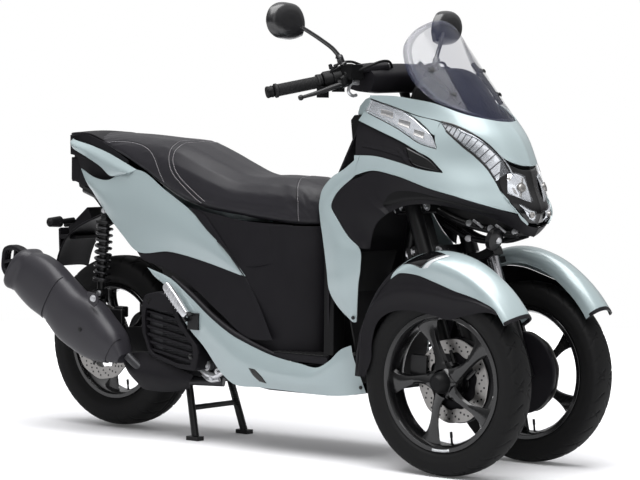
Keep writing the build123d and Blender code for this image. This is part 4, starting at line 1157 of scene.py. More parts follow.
tailLow = (  # lower body of the tail from its rear tip forward: upper, middle and lower line
    ((-694, 106, 778), (-622, 118, 752), (-560, 125, 748), (-500, 130, 775), (-440, 134, 781),
     (-316, 146, 724), (-179, 156, 650), (-69, 163, 567), (12, 168, 493)),
    ((-668, 112, 742), (-600, 126, 712), (-540, 134, 690), (-480, 140, 690), (-420, 146, 682),
     (-310, 154, 645), (-175, 161, 590), (-72, 166, 536), (11, 168.6, 491.5)),
    ((-640, 108, 706), (-585, 121, 660), (-541, 128, 623), (-490, 136, 584), (-438, 142, 546),
     (-291, 151, 547), (-148, 158, 525), (-69, 163, 508), (8, 167, 490.5)),
)
tailHigh = (  # painted bar over the hand hold
    ((-742, 60, 874), (-728, 104, 868), (-640, 116, 848), (-560, 124, 826), (-500, 129, 804),
     (-440, 134, 781)),
    ((-752, 62, 862), (-734, 112, 856), (-640, 126, 828), (-566, 133, 802), (-510, 138, 780),
     (-470, 140, 770)),
    ((-748, 62, 850), (-726, 112, 842), (-650, 124, 812), (-590, 130, 786), (-548, 131, 760),
     (-512, 132, 762)),
)
tailForm = {
    # edge of the deck and of its sides, from the rear to the front; rows of the panels inside the hand hold
    "deck": ((-764, 44, 872), (-744, 96, 882), (-660, 104, 884), (-600, 108, 866), (-540, 110, 838)),
    "deckCrown": 5,
    "sides": (((-766, -44, 868), (-746, -97, 878), (-660, -107, 880), (-600, -111, 862), (-540, -114, 834),
               (-486, -117, 806)),
              ((-766, -44, 818), (-744, -97, 820), (-660, -107, 806), (-600, -111, 790), (-540, -114, 768),
               (-486, -117, 748))),
    "inners": (((-744, 86, 846), (-700, 96, 838), (-640, 100, 820), (-560, 104, 790)),
               ((-738, 84, 790), (-690, 92, 780), (-620, 98, 760), (-550, 102, 735)),
               ((-728, 78, 722), (-660, 86, 690), (-600, 92, 650), (-560, 96, 660))),
    "core": ((-110, 335), (-296, 335), (-300, 400), (-352, 440), (-380, 600), (-110, 600)), "coreHalf": 112,
}


def tail():
    # painted tail and bars, dark deck between them and a plain core that closes the view through the body
    f = tailForm
    sidePanel("tailCowl", tailLow, 90, 20, "bodyPaint", ("tail_cowl",))
    sidePanel("tailBars", tailHigh, 60, 12, "bodyPaint", ("grab_rail",), wall=7, bevel=1.5)
    sidePanel("deckSides", f["sides"], 40, 8, wall=3, smooth=False)
    addPiece("innerBody", [slab(f["core"], -f["coreHalf"], f["coreHalf"])], "framePaint", bevel=8)
    deck = net([((x, -y, z), (x, 0, z + f["deckCrown"]), (x, y, z)) for x, y, z in f["deck"]], 30, 24)
    addPiece("tailDeck", [sheet(deck, (0, 0, 1))], "charcoalPlastic", wall=10, bevel=2)
    sidePanel("tailInners", f["inners"], 30, 16, wall=3)


# ---------- seat: a foam form swelled by cloth simulation, then stitched
seatForm = {
    # station, half width, underside, top
    "stations": ((240, 52, 658, 712), (222, 92, 645, 738), (167, 120, 640, 762), (70, 136, 648, 770),
                 (-70, 145, 664, 773), (-155, 149, 674, 803), (-243, 149, 696, 838), (-313, 145, 724, 862),
                 (-425, 132, 780, 871), (-587, 114, 846, 880), (-690, 84, 862, 882)),
    "voxel": 7, "pressure": 4, "frames": 20, "cap": 6, "fill": 0.8, "body": "seat_lid",
}


def seatSections(along):
    # ring of a rounded section at each station: flat below, full above, sides pulled in at the foot
    table = np.array(seatForm["stations"], float)
    reach = reachOf(table[:, [0, 3]])
    rows = curveThrough(reach, table, np.linspace(0, reach[-1], along))
    x, half, low, high = rows.T[:, :, None]
    ring = np.array([(-0.90, 0), (-0.985, 0.12), (-1, 0.34), (-0.95, 0.62), (-0.80, 0.84), (-0.5, 0.965),
                     (0, 1), (0.5, 0.965), (0.80, 0.84), (0.95, 0.62), (1, 0.34), (0.985, 0.12), (0.90, 0),
                     (0, 0)])
    y = half * ring[None, :, 0]
    z = low + (high - low) * ring[None, :, 1]
    return np.stack([x + 0 * y, y, z], axis=-1)


def swell(piece, settings):
    # remesh, blow up with cloth pressure and keep no point further than the cap from where it was
    scene = bpy.context.scene
    remesh = piece.modifiers.new("remesh", "REMESH")
    remesh.mode = "VOXEL"
    remesh.voxel_size = settings["voxel"] * mm
    bpy.context.view_layer.objects.active = piece
    piece.select_set(True)
    bpy.ops.object.modifier_apply(modifier=remesh.name)
    count = len(piece.data.vertices)
    before = np.empty(count * 3)
    piece.data.vertices.foreach_get("co", before)
    before = before.reshape(-1, 3)
    table = np.array(settings["stations"], float) * mm
    low = np.interp(-before[:, 0], -table[:, 0], table[:, 2])
    hold = piece.vertex_groups.new(name="base")
    hold.add(np.nonzero(before[:, 2] < low + 0.012)[0].tolist(), 1.0, "REPLACE")
    cloth = piece.modifiers.new("cloth", "CLOTH")
    cloth.settings.use_pressure = True
    cloth.settings.uniform_pressure_force = settings["pressure"]
    cloth.settings.vertex_group_mass = "base"
    cloth.settings.effector_weights.gravity = 0
    for frameNumber in range(1, settings["frames"] + 1):
        scene.frame_set(frameNumber)
    bpy.ops.object.modifier_apply(modifier=cloth.name)
    scene.frame_set(1)
    after = np.empty(count * 3)
    piece.data.vertices.foreach_get("co", after)
    move = after.reshape(-1, 3) - before
    size = np.linalg.norm(move, axis=1, keepdims=True)
    cap = settings["cap"] * mm
    kept = before + move * np.minimum(1, cap / np.maximum(size, 1e-9))
    piece.data.vertices.foreach_set("co", kept.ravel())
    piece.data.update()


def seat():
    # swelled by the cloth, made finer by one level for view and render, shaded smooth, then stitched
    form = bodyForm(seatSections(70))
    piece = addPiece("seat", [form], "seatCover", seatForm["body"], ("seat",))
    swell(piece, seatForm)
    smooth = piece.modifiers.new("smooth", "SUBSURF")
    smooth.levels = smooth.render_levels = 1
    piece.data.shade_smooth()
    bpy.context.view_layer.update()
    stitching(piece)


stitchForm = {
    # points near the seat's skin on the right side; the lines across go on over the middle to the left
    "across": (((-178, -148, 686), (-239, -154, 728), (-282, -153, 761), (-307, -148, 789),
                (-323, -135, 826), (-330, -89, 861), (-325, -20, 869)),
               ((-162, -153, 693), (-222, -155, 731), (-267, -152, 764), (-291, -148, 790),
                (-307, -135, 824), (-310, -93, 855), (-304, -30, 864)),
               ((162, -123, 649), (158, -127, 694), (153, -122, 724), (139, -101, 754), (116, -37, 772))),
    "sides": (((-577, -117, 868), (-511, -109, 869), (-448, -112, 862), (-391, -129, 839), (-364, -142, 811),
               (-342, -148, 777), (-322, -148, 748)),),
    "step": 5.5, "dash": 0.6, "thread": 1.0, "cord": 1.3, "sunk": 0.4, "beside": 4, "raised": 0.5,
}


def stitching(seatPiece):
    # dashes of thread along both sides of a thin sunk cord, all laid on the skin of the finished seat
    f = stitchForm
    halves = [np.array(line, float) for line in f["across"]]
    across = [np.concatenate((line, line[::-1] * (1, -1, 1))) for line in halves]
    sides = [np.array(line, float) for line in f["sides"]]
    lines = across + sides + [line * (1, -1, 1) for line in sides]
    threads, cords = [], []
    for line in lines:
        reach = np.linalg.norm(np.diff(line, axis=0), axis=1).sum()
        spots = follow(line, int(reach / f["step"]) * 2 + 1)
        found = [seatPiece.closest_point_on_mesh((spot * mm).tolist())[1:3] for spot in spots]
        skin = np.array([list(place) for place, look in found]) / mm
        look = np.array([list(normal) for place, normal in found])
        skin[1:-1] = (skin[:-2] + skin[1:-1] * 2 + skin[2:]) / 4
        run = unit(np.gradient(skin, axis=0))
        beside = unit(np.cross(run, look))
        cords.append(tube(skin - look * f["sunk"], f["cord"], 8, (0.3, 0.2, 1)))
        raised = skin + beside * f["beside"] + look * f["raised"]
        first = raised[:-1:2]
        last = first + (raised[1::2] - first) * 2 * f["dash"]
        for a, b in zip(first, last):
            threads.append(tube([a, (a + b) / 2 + 0.1, b], [0.5, f["thread"], 0.5], 6, (0.3, 0.2, 1)))
    addPiece("seatCords", cords, "seatSide", seatForm["body"])
    addPiece("seatThreads", threads, "thread", seatForm["body"])


# ---------- exhaust
mufflerForm = {
    # middle (x, z), half length across the body, half thickness in y, from the pipe to the end
    "stations": ((-420, 231, 16, 30), (-458, 257, 48, 44), (-515, 285, 71, 48), (-572, 319, 82, 50),
                 (-626, 344, 79, 50), (-682, 388, 75, 49), (-754, 432, 81, 48), (-813, 464, 70, 47),
                 (-863, 481, 45, 42), (-868, 483, 30, 30)),
    "y": -200, "tilt": 58, "power": 0.66,
    # frame round the outlet: the outer line and the two bars, all (x, z) at its own distance across
    "cap": (((-822, 522), (-850, 534), (-876, 537), (-898, 530), (-906, 500), (-906, 473), (-884, 447),
             (-841, 416)),
            ((-902, 492), (-880, 496), (-859, 494)), ((-856, 528), (-859, 494), (-852, 455), (-846, 425))),
    "capY": -219,
    "capRadii": (8, 6, 6), "capLayers": (0, 9, 18), "shieldProud": 2.6,
    "outlet": ((-850, -186, 474), (-884, -186, 484), (-884, -186, 484.2), (-862, -186, 478)),
    "outletRadii": (15, 15, 12, 12),
    "arm": ((-528, 424), (-486, 418), (-484, 392), (-500, 380), (-522, 392)), "armAcross": (-250, -244),
    "bolt": (-502, -250, 405), "screw": (-553, -251, 311),
    "pipe": ((-150, -70, 172), (-230, -100, 172), (-330, -162, 176), (-372, -186, 205), (-412, -198, 240)),
    "pipeRadius": 13,
}


def mufflerGrid(along, around, grow=0):
    # section by section: u = |cos|^power half length, v = |sin|^power half thickness, u tilted
    m = mufflerForm
    table = np.array(m["stations"], float)
    reach = reachOf(table[:, :2])
    rows = curveThrough(reach, table, np.linspace(0, reach[-1], along))
    turn = fullTurn(around)[None, :]
    a = math.radians(m["tilt"])
    u = powered(np.cos(turn), m["power"]) * (rows[:, 2:3] + grow)
    v = powered(np.sin(turn), m["power"]) * (rows[:, 3:4] + grow)
    return np.stack([rows[:, 0:1] + u * math.cos(a), m["y"] + v, rows[:, 1:2] + u * math.sin(a)], axis=-1)


def muffler():
    # superellipse sections square to the axis, raised shields on the outside and a frame round the outlet
    m = mufflerForm
    addPiece("mufflerBody", [bodyForm(mufflerGrid(90, 64))], "muffler",
             stands=("exhaust",), bevel=1)
    shield = mufflerGrid(90, 64, m["shieldProud"])
    front = sheet(shield[6:52, 34:64], (0, -1, 0))
    rear = sheet(shield[55:82, 36:62], (0, -1, 0))
    addPiece("mufflerShields", [front, rear], "muffler", wall=2.4, bevel=0.8)
    bars = []
    for line, wide in zip(m["cap"], m["capRadii"]):
        path = follow([(x, m["capY"], z) for x, z in line], 30)
        bars += [moved(tube(path, wide, 12), (0, y, 0)) for y in m["capLayers"]]
    addPiece("mufflerCap", bars, "charcoalPlastic")
    addPiece("mufflerOutlet", [tube(m["outlet"], m["outletRadii"], 24)], "engineMetal")
    addPiece("mufflerArm", [slab(m["arm"], *m["armAcross"])], "muffler", bevel=1.5)
    addPiece("mufflerBolts", [bolt(m["bolt"], (0, -1, 0), 8, 6)], "brightAlloy", bevel=0.5)
    addPiece("mufflerScrews", [bolt(m["screw"], (0, -1, 0), 6, 4)], "framePaint", bevel=0.5)
    addPiece("exhaustPipe", [tube(follow(m["pipe"], 40), m["pipeRadius"], 16)], "engineMetal")
# ---------- drive unit, rear suspension and what is low down
shockForm = {
    "top": (-593, 103.5, 655), "foot": (-612, 103.5, 408), "turns": 8.5, "radius": 22, "wire": 4.6,
    "springFrom": 0.16, "springShare": 0.66, "eye": ((0, -8), (15, -8), (15, 8), (0, 8)), "boltRadius": 6.5,
    # the damper's radius at shares of its length
    "damper": ((0.05, 12), (0.14, 12), (0.145, 27), (0.17, 27), (0.171, 11), (0.5, 11), (0.501, 15),
               (0.84, 15), (0.845, 27), (0.88, 27), (0.9, 14), (0.95, 12)),
}


def shocks():
    # coil springs round stepped dampers, with an eye and a bolt at both ends
    s = shockForm
    top, foot = np.array(s["top"], float), np.array(s["foot"], float)
    run = top - foot
    turn = np.linspace(0, s["turns"] * 2 * math.pi, 300)
    spring = foot + run * (s["springFrom"] + s["springShare"] * turn / turn[-1])[:, None]
    spring = spring + s["radius"] * np.stack([np.cos(turn), np.sin(turn), 0 * turn], axis=1)
    share, wide = np.array(s["damper"], float).T
    damper = tube(foot + run * share[:, None], wide, 24)
    eyes = [lathe(s["eye"], end, 24) for end in (top, foot)]
    addPiece("shockSprings", bothSides(tube(spring, s["wire"], 10, (0, 0, 1))), "springSteel")
    addPiece("shockDampers", bothSides(damper, *eyes), "framePaint", stands=("rear_shocks",),
             bevel=0.6)
    heads = [bolt(end + (0, 8, 0), (0, 1, 0), s["boltRadius"], 5) for end in (top, foot)]
    addPiece("shockBolts", bothSides(*heads), "brightAlloy", bevel=0.4)


grille = {
    "outline": ((-372, 374), (-366, 408), (-356, 422), (-301, 434), (-270, 424), (-247, 405), (-214, 350),
                (-152, 284), (-148, 262), (-160, 212), (-222, 214), (-330, 243), (-344, 256), (-368, 310)),
    "opening": (0.84, 0.80), "drop": 8, "low": -186, "high": -128,
    "left": ((388, -360), (310, -352), (258, -330)),
    "right": ((388, -246), (350, -224), (290, -178), (228, -176)),
    "slats": 7, "firstSlat": 374, "pitch": 22.5, "fall": 0.16, "slatLevel": -176,
    "slat": ((-4, 3), (4, 5), (4, -2), (-4, -4)),
    "cap": ((-366, 384), (-362, 408), (-352, 420), (-301, 431), (-270, 421), (-250, 404), (-240, 372),
            (-300, 380)),
    "core": ((-352, -180), (-168, -160), (226, 384)),
    "fins": 26, "finPitch": 4.6, "finThick": 1.4, "fin": ((-170.5, -168), (232, 372)),
    "meshFrom": (-300, 238), "tubes": 22, "tubePitch": 6, "tubeThick": 1.2,
    "tube": ((-300, -184), (-170, -168)),
    "recessShade": ((-351, 408), (-329, 412), (-341, 394)), "screw": (-176, -186, 252),
}


def radiatorCover():
    # frame with slanted slats in front of a fine mesh, and a closed cap on top; its three-cornered recess is
    # a thin glossy black sheet of painted shade laid on the cap
    g = grille
    outline = np.array(g["outline"], float)
    middle = outline.mean(axis=0)
    outer = follow(np.concatenate((outline, outline[:1])), 90, False)[:-1]
    inner = middle + (outer - middle) * g["opening"] - (0, g["drop"])
    rings = [(outer, g["high"]), (outer, g["low"] + 4), (middle + (outer - middle) * 0.975, g["low"]),
             (inner, g["low"]), (inner, g["high"])]
    grid = np.array([sideLine(line, y) for line, y in rings])
    parts = [gridForm(grid, closeRows=True, closeColumns=True)]
    left, right = np.array(g["left"], float)[::-1], np.array(g["right"], float)[::-1]
    section = np.array(g["slat"], float)
    for k in range(g["slats"]):
        z = g["firstSlat"] - g["pitch"] * k
        a = np.interp(z, left[:, 0], left[:, 1])
        b = np.interp(z - 20, right[:, 0], right[:, 1])
        fall = g["fall"] * (b - a)
        ends = [np.stack([np.full(4, x), g["slatLevel"] + section[:, 0], drop + section[:, 1]], axis=1)
                for x, drop in ((a, z), (b, z - fall))]
        parts.append(bodyForm(np.array(ends)))
    parts.append(slab(g["cap"], -187, -170))
    addPiece("radiatorFrame", parts, "charcoalPlastic", stands=("radiator_cover",), bevel=1)
    fins = [block(*g["core"])]
    for k in range(g["fins"]):
        x = g["meshFrom"][0] + g["finPitch"] * k
        fins.append(block((x, x + g["finThick"]), *g["fin"]))
    for k in range(g["tubes"]):
        z = g["meshFrom"][1] + g["tubePitch"] * k
        fins.append(block(*g["tube"], (z, z + g["tubeThick"])))
    addPiece("radiatorMesh", fins, "engineMetal")
    # painted shade: the three-cornered recess is not sunk; a thin dark sheet on the cap's face stands for
    # its shade, and the screw shares its piece
    recessShade = slab(g["recessShade"], -187.8, -186.8)
    screw = bolt(g["screw"], (0, -1, 0), 6, 3)
    addPiece("radiatorRecessShadeAndScrew", [recessShade, screw], "glossBlack")


engineForm = {
    # three lines of the shield from behind to the front: upper edge, swell, lower edge
    "shield": (((-478, -150, 232), (-374, -168, 250), (-330, -176, 243), (-262, -176, 222),
                (-183, -166, 197)),
               ((-470, -160, 218), (-400, -200, 196), (-330, -198, 188), (-262, -186, 178),
                (-196, -170, 174)),
               ((-440, -150, 196), (-384, -168, 146), (-320, -170, 140), (-262, -164, 143),
                (-208, -150, 156))),
    "upperPipe": ((-196, -128, 232), (-170, -134, 206), (-132, -132, 196), (-96, -128, 214)),
    "upperRadius": 9,
    "lowerPipe": ((-182, -124, 196), (-150, -128, 182), (-118, -126, 186)), "lowerRadius": 6,
    "bolts": ((-160, 224), (-118, 208), (-140, 190), (-188, 214)),
}


def engineShield():
    # rounded shield under the radiator and small metal parts behind the side skirt
    e = engineForm
    shield = sheet(net(e["shield"], 26, 40), (0, -1, 0))
    addPiece("engineShield", [shield], "charcoalPlastic", wall=3, bevel=0.8)
    bits = [tube(follow(e["upperPipe"], 30), e["upperRadius"], 12),
            tube(follow(e["lowerPipe"], 20), e["lowerRadius"], 12),
            rod((-160, -118, 224), (-160, -138, 224), 15), rod((-118, -118, 208), (-118, -136, 208), 11)]
    bits += [bolt((x, -138, z), (0, -1, 0), 5.5, 4) for x, z in e["bolts"]]
    addPiece("engineBits", bits, "brightAlloy", bevel=0.5)


beltCaseForm = {
    "outline": ((-95, 250), (-130, 205), (-240, 195), (-420, 205), (-600, 196), (-660, 225), (-672, 275),
                (-650, 325), (-600, 350), (-420, 372), (-240, 400), (-130, 380), (-95, 320), (-95, 250)),
    # how far the outline shrinks on its way outwards
    "steps": ((1, 80), (1, 138), (0.985, 146), (0.95, 148), (0.93, 148), (0.92, 156), (0.88, 159.5),
              (0.2, 159.5)),
    "ribs": (-520, -200, 32), "ribWidth": 5, "foot": ((-624, -600), (80, 95.7), (330, 420)),
    "boltLine": 0.965,
}


def beltCase():
    # case with ribs, a foot for the shock and bolts round its rim
    b = beltCaseForm
    line = follow(b["outline"], 120)[:-1]
    middle = line.mean(axis=0)
    rings = []
    for scale, y in b["steps"]:
        rings.append(sideLine(middle + (line - middle) * scale, y))
    body = bodyForm(np.array(rings))
    ribs = [block((x, x + b["ribWidth"]), (158, 161.5), (228, 352)) for x in range(*b["ribs"])]
    addPiece("beltCase", [body, block(*b["foot"])] + ribs, "engineMetal", stands=("cvt_case",),
             bevel=0.8)
    rim = middle + (line[::12] - middle) * b["boltLine"]
    addPiece("beltCaseBolts", [bolt((x, 147, z), (0, 1, 0), 5, 4) for x, z in rim], "brightAlloy",
             bevel=0.3)


swingArmForm = {
    "outline": ((-345, 330), (-345, 250), (-460, 240), (-560, 225), (-625, 232), (-648, 262), (-645, 300),
                (-628, 390), (-596, 390), (-580, 318), (-540, 308)),
    "across": (-108, -98), "shockFeet": (((-624, -600), (-108, -82), (380, 390)),
                                         ((-624, -600), (-95.7, -82), (380, 420))),
    "axle": (-610, 261), "nutRadii": (22, 13),
    "caliper": (((-560, -505), (-126, -110), (318, 366)), ((-550, -515), (-112, -84), (340, 372))),
}


def swingArm():
    # side arm with the shock's foot and the axle's nut, and the rear brake caliper
    s = swingArmForm
    x, z = s["axle"]
    wide, narrow = s["nutRadii"]
    solid = [slab(s["outline"], *s["across"])] + [block(*foot) for foot in s["shockFeet"]]
    solid += [rod((x, -98, z), (x, -116, z), wide), rod((x, -116, z), (x, -122, z), narrow)]
    addPiece("swingArm", solid, "framePaint", stands=("swing_arm",), bevel=2)
    addPiece("rearCaliper", [block(*part) for part in s["caliper"]], "framePaint", bevel=4)


pegForm = {
    "foot": (-179, 203, 371), "run": (-0.692, 0, 0.722), "wide": (0.722, 0, 0.692),
    # distance along the peg, half its width and half its thickness there
    "stations": ((0, 9, 6), (4, 12, 8), (20, 13, 8.6), (60, 15, 8.6), (100, 14.5, 8.2), (114, 13, 7),
                 (119, 9, 5), (120, 5, 3)),
    "power": 0.6, "ribs": 7, "firstRib": 26, "ribPitch": 11.5, "clevis": ((-14, -9), (9, 14)),
}


def pegs():
    # folding footrest: a bar with rubber ribs on an alloy core, set along its own slanted line
    p = pegForm
    for name, side in (("left", 1), ("right", -1)):
        foot = np.array(p["foot"], float) * (1, side, 1)
        run, wide, out = np.array(p["run"]), np.array(p["wide"]), np.array((0, side, 0))

        def place(form):
            points, faces = form
            return foot + points[:, :1] * run + points[:, 1:2] * wide + points[:, 2:] * out, faces

        u, half, thick = np.array(p["stations"], float).T[:, :, None]
        turn = fullTurn(28)[None, :]
        v = half * powered(np.cos(turn), p["power"])
        w = thick * powered(np.sin(turn), p["power"])
        core = place(bodyForm(np.stack([u + 0 * v, v, w], axis=-1)))
        ribs = []
        for k in range(p["ribs"]):
            at = p["firstRib"] + p["ribPitch"] * k
            ribs.append(place(block((at, at + 3), (-13.4, 13.4), (8, 9.8))))
        addPiece("peg" + name.title(), [core] + ribs, "brightAlloy", name + "_peg", ("peg_" + name,),
                 bevel=0.6)
        base = [place(block((-12, 4), cheek, (-12, 7))) for cheek in p["clevis"]]
        addPiece("pegClevis" + name.title(), base, "framePaint", bevel=2)


rearLampForm = {
    "base": -741, "crown": 9, "half": 84, "low": 746, "height": 58, "ribs": range(-70, 71, 10),
    # share of the height and of the crown there
    "rows": ((0, 0.5), (0.12, 0.9), (0.3, 1), (0.5, 1), (0.7, 1), (0.88, 0.9), (1, 0.5)),
    "bezel": (((-752, -716), (-88, -80), (742, 810)), ((-752, -716), (80, 88), (742, 810)),
              ((-752, -716), (-88, 88), (804, 811)), ((-750, -716), (-88, 88), (738, 746)),
              ((-744, -700), (-84, 84), (808, 874))),
}


def rearLamp():
    # crowned lens x = base - crown * (1 - (y / half)^2) * share, with ribs and a bezel
    r = rearLampForm
    lens = np.array([[(r["base"] - r["crown"] * (1 - (y / r["half"]) ** 2) * share, y,
                       r["low"] + r["height"] * level)
                      for y in np.linspace(-80, 80, 33)] for level, share in r["rows"]])
    red = sheet(net(lens, 20, 60), (-1, 0, 0))
    addPiece("rearLamp", [red], "redLens", stands=("rear_lamps",), wall=2, bevel=0.5)
    ribs = [rod((-748, y, 752), (-748, y, 798), 1.6, 8) for y in r["ribs"]]
    addPiece("rearLampRibs", ribs, "lampSilver")
    addPiece("rearBezel", [block(*part) for part in r["bezel"]], "charcoalPlastic", bevel=2.5)


mudguardForm = {
    "line": ((-560, 668), (-620, 655), (-700, 628), (-752, 604), (-792, 574), (-820, 530), (-838, 478)),
    "half": 72,
    "fall": 8, "plate": ((-832, 500), (-838, 500), (-842, 590), (-834, 594)), "plateHalf": 52,
    "shelf": ((-834, -770), (-52, 52), (560, 572)),
    "rib": ((-700, 628), (-792, 574), (-800, 596), (-720, 660)),
    "lamp": (-850, 600), "reflector": ((-842, -838), (-26, 26), (510, 526)),
    # rear signals: path and radii of the stalk, its cup and the lens
    "stalk": ((-778, 50, 618), (-782, 84, 616), (-784, 104, 615)), "stalkRadii": (9, 8, 8),
    "cup": ((-784, 100, 615), (-784, 104, 615), (-786, 146, 614), (-787, 152, 614)),
    "cupRadii": (13, 17, 14, 7),
    "lens": ((-790, 108, 615), (-791, 142, 614)), "lensRadii": (12, 9),
}


def rearFender():
    # mudguard whose edges fall by fall * share^4, plate carrier without a plate, turn signals
    m = mudguardForm
    across = np.linspace(-1, 1, 25)[None, :]
    flat = follow(m["line"], 40)[:, None]
    grid = np.stack([flat[..., 0] + 0 * across, m["half"] * across + 0 * flat[..., 0],
                     flat[..., 1] - m["fall"] * across**4 + 0 * across], axis=-1)
    guard = sheet(grid, (-0.5, 0, 1))
    half = m["plateHalf"]
    carrier = [slab(m["plate"], -half, half), block(*m["shelf"]), slab(m["rib"], -half, half)]
    addPiece("rearFender", [guard], "charcoalPlastic", stands=("rear_fender",), wall=6,
             bevel=1.5)
    addPiece("plateCarrier", carrier, "charcoalPlastic", bevel=2)
    stalk, cup, lens = (tube(m[part], m[part + "Radii"], count, (0, 0, 1))
                        for part, count in (("stalk", 12), ("cup", 20), ("lens", 20)))
    addPiece("rearSignals", bothSides(stalk, cup), "blackPlastic", bevel=0.6)
    addPiece("rearSignalLenses", bothSides(lens), "dialGlass", bevel=0.8)
    x, z = m["lamp"]
    addPiece("plateLamp", [rod((x, -14, z), (x, 14, z), 7, 12)], "blackPlastic", bevel=1)
    addPiece("plateReflector", [block(*m["reflector"])], "redLens", bevel=1)


matForm = {"sheet": ((124, 318), (28, 178), (285, 288)), "ribs": 12, "firstRib": 134, "pitch": 15,
           "ribWidth": 5, "rib": ((34, 172), (287.5, 290)), "edgeIn": 9, "edgeUp": 3}


def floorMats():
    # ribbed mats, and the dark edge that runs along the top of each skirt
    m = matForm
    mats = [block(*m["sheet"])]
    for k in range(m["ribs"]):
        x = m["firstRib"] + m["pitch"] * k
        mats.append(block((x, x + m["ribWidth"]), *m["rib"]))
    addPiece("floorMats", bothSides(*mats), "gripRubber", bevel=0.8)
    edge = follow([(x, y - m["edgeIn"], z + m["edgeUp"]) for x, y, z in skirtRows[0][1:7]], 60)
    wide = np.interp(np.linspace(0, 1, 60), (0, 0.15, 0.7, 1), (5, 9, 10, 5))
    addPiece("stepEdges", bothSides(tube(edge, wide, 14)), "charcoalPlastic")


# ---------- front forks and arms: the steering axis leans back, and its own directions are forward and up
steerAxis = {"wheel": (740, 250), "rake": 20, "offset": 21.6}
steerLean = math.radians(steerAxis["rake"])
steerForward = np.array((math.cos(steerLean), 0, math.sin(steerLean)))
steerUp = np.array((-math.sin(steerLean), 0, math.cos(steerLean)))


def onSteerAxis(y):
    # where the steering axis passes the wheel's centre, at a distance y across the vehicle
    return np.array((steerAxis["wheel"][0], y, steerAxis["wheel"][1])) - steerForward * steerAxis["offset"]


forkForm = {
    "across": 105, "tubes": (63.6, -20.4), "tubeRadius": 16.6, "tubeFrom": 190, "tubeTo": 322,
    "crown": (320, 345),
    "seal": ((172, 22.6), (176, 24.5), (188, 24.5), (192, 18)), "boltAt": 344,
    "coverAcross": 192.5, "coverInset": 34,
    "cover": ((0, 0), (104, 0), (112, 4), (114, 12), (114, 20), (108, 23), (0, 23)),
}


def forkTubes():
    # chromed tubes between slider and crown, seals, crown bolts and the drum beside the hub
    f = forkForm
    low, high = f["crown"]
    for name, side in (("left", 1), ("right", -1)):
        foot = onSteerAxis(side * f["across"])
        bright, dark = [], []
        for ahead in f["tubes"]:
            line = foot + steerForward * ahead
            bright.append(rod(line + steerUp * f["tubeFrom"], line + steerUp * f["tubeTo"], f["tubeRadius"],
                              28))
            dark.append(tube([line + steerUp * k for k, wide in f["seal"]], [wide for k, wide in f["seal"]],
                             28))
            dark.append(bolt(line + steerUp * f["boltAt"], steerUp, 12, 6))
            dark.append(tube([line + steerUp * low, line + steerUp * high], 22, 28))
        addPiece("forkTubes" + name.title(), bright, "forkMetal", name + "_fork")
        addPiece("forkSeals" + name.title(), dark, "framePaint", name + "_fork", bevel=0.6)
        drum = [(r, -side * (f["coverInset"] + d)) for r, d in f["cover"]]
        hub = (steerAxis["wheel"][0], side * f["coverAcross"], steerAxis["wheel"][1])
        addPiece("discCover" + name.title(), [lathe(drum, hub, 72)], "charcoalPlastic", name + "_fork",
                 bevel=1)


armForm = {"levels": (372, 500), "ahead": -45, "across": (-112, 0, 112), "boss": 13, "reach": (-6, 16)}


def armBolts():
    # pivots of the leaning arms with their bolts, along the steering axis
    parts = []
    back, front = armForm["reach"]
    for level in armForm["levels"]:
        for y in armForm["across"]:
            at = onSteerAxis(y) + steerForward * armForm["ahead"] + steerUp * level
            parts.append(tube([at + steerForward * back, at + steerForward * front], armForm["boss"], 24))
            parts.append(bolt(at + steerForward * front, steerForward, 8, 6))
    addPiece("armBolts", parts, "brightAlloy", bevel=0.5)


standSpringForm = {"top": (-262, 78, 166), "foot": (-236, 96, 84), "turns": 14, "radius": 6, "wire": 1.6}


def standSpring():
    # return spring of the centre stand
    s = standSpringForm
    turn = np.linspace(0, s["turns"] * 2 * math.pi, 420)
    start, end = np.array(s["top"], float), np.array(s["foot"], float)
    line = start + (end - start) * (turn / turn[-1])[:, None]
    coil = line + s["radius"] * np.stack([np.cos(turn), np.sin(turn), 0 * turn], axis=1)
    addPiece("standSpring", [tube(coil, s["wire"], 6, (0, 0, 1))], "springSteel", "main_stand")


noseForm = {
    "rail": ((590, 40, 694), (660, 42, 668), (740, 40, 650), (840, 30, 640), (868, 14, 648)),
    "railRadius": 9,
    "lowRail": ((600, 30, 660), (690, 30, 622), (780, 26, 618), (840, 24, 634)), "lowRadius": 7,
    "core": ((590, 724), (690, 724), (780, 700), (846, 668), (868, 652), (840, 640), (740, 640), (600, 680)),
    "coreHalf": 34,
    "bars": ((700, 658), (770, 646), (842, 640)), "barHalf": 42,
    "horn": ((782, -64, 628), (786, -64, 627), (790, -64, 626), (800, -64, 624), (806, -64, 622)),
    "hornRadii": (24, 30, 31, 31, 12),
    "bolts": ((700, -49, 664), (770, -48, 652), (842, -38, 646), (806, -64, 622), (690, -38, 622)),
    "clips": ((716, 660), (790, 650)),
    "loom": ((600, 0, 700), (636, 0, 672), (676, 0, 656), (720, 0, 652), (752, 0, 660)),
    "loomAcross": (-22, 4, 24),
}


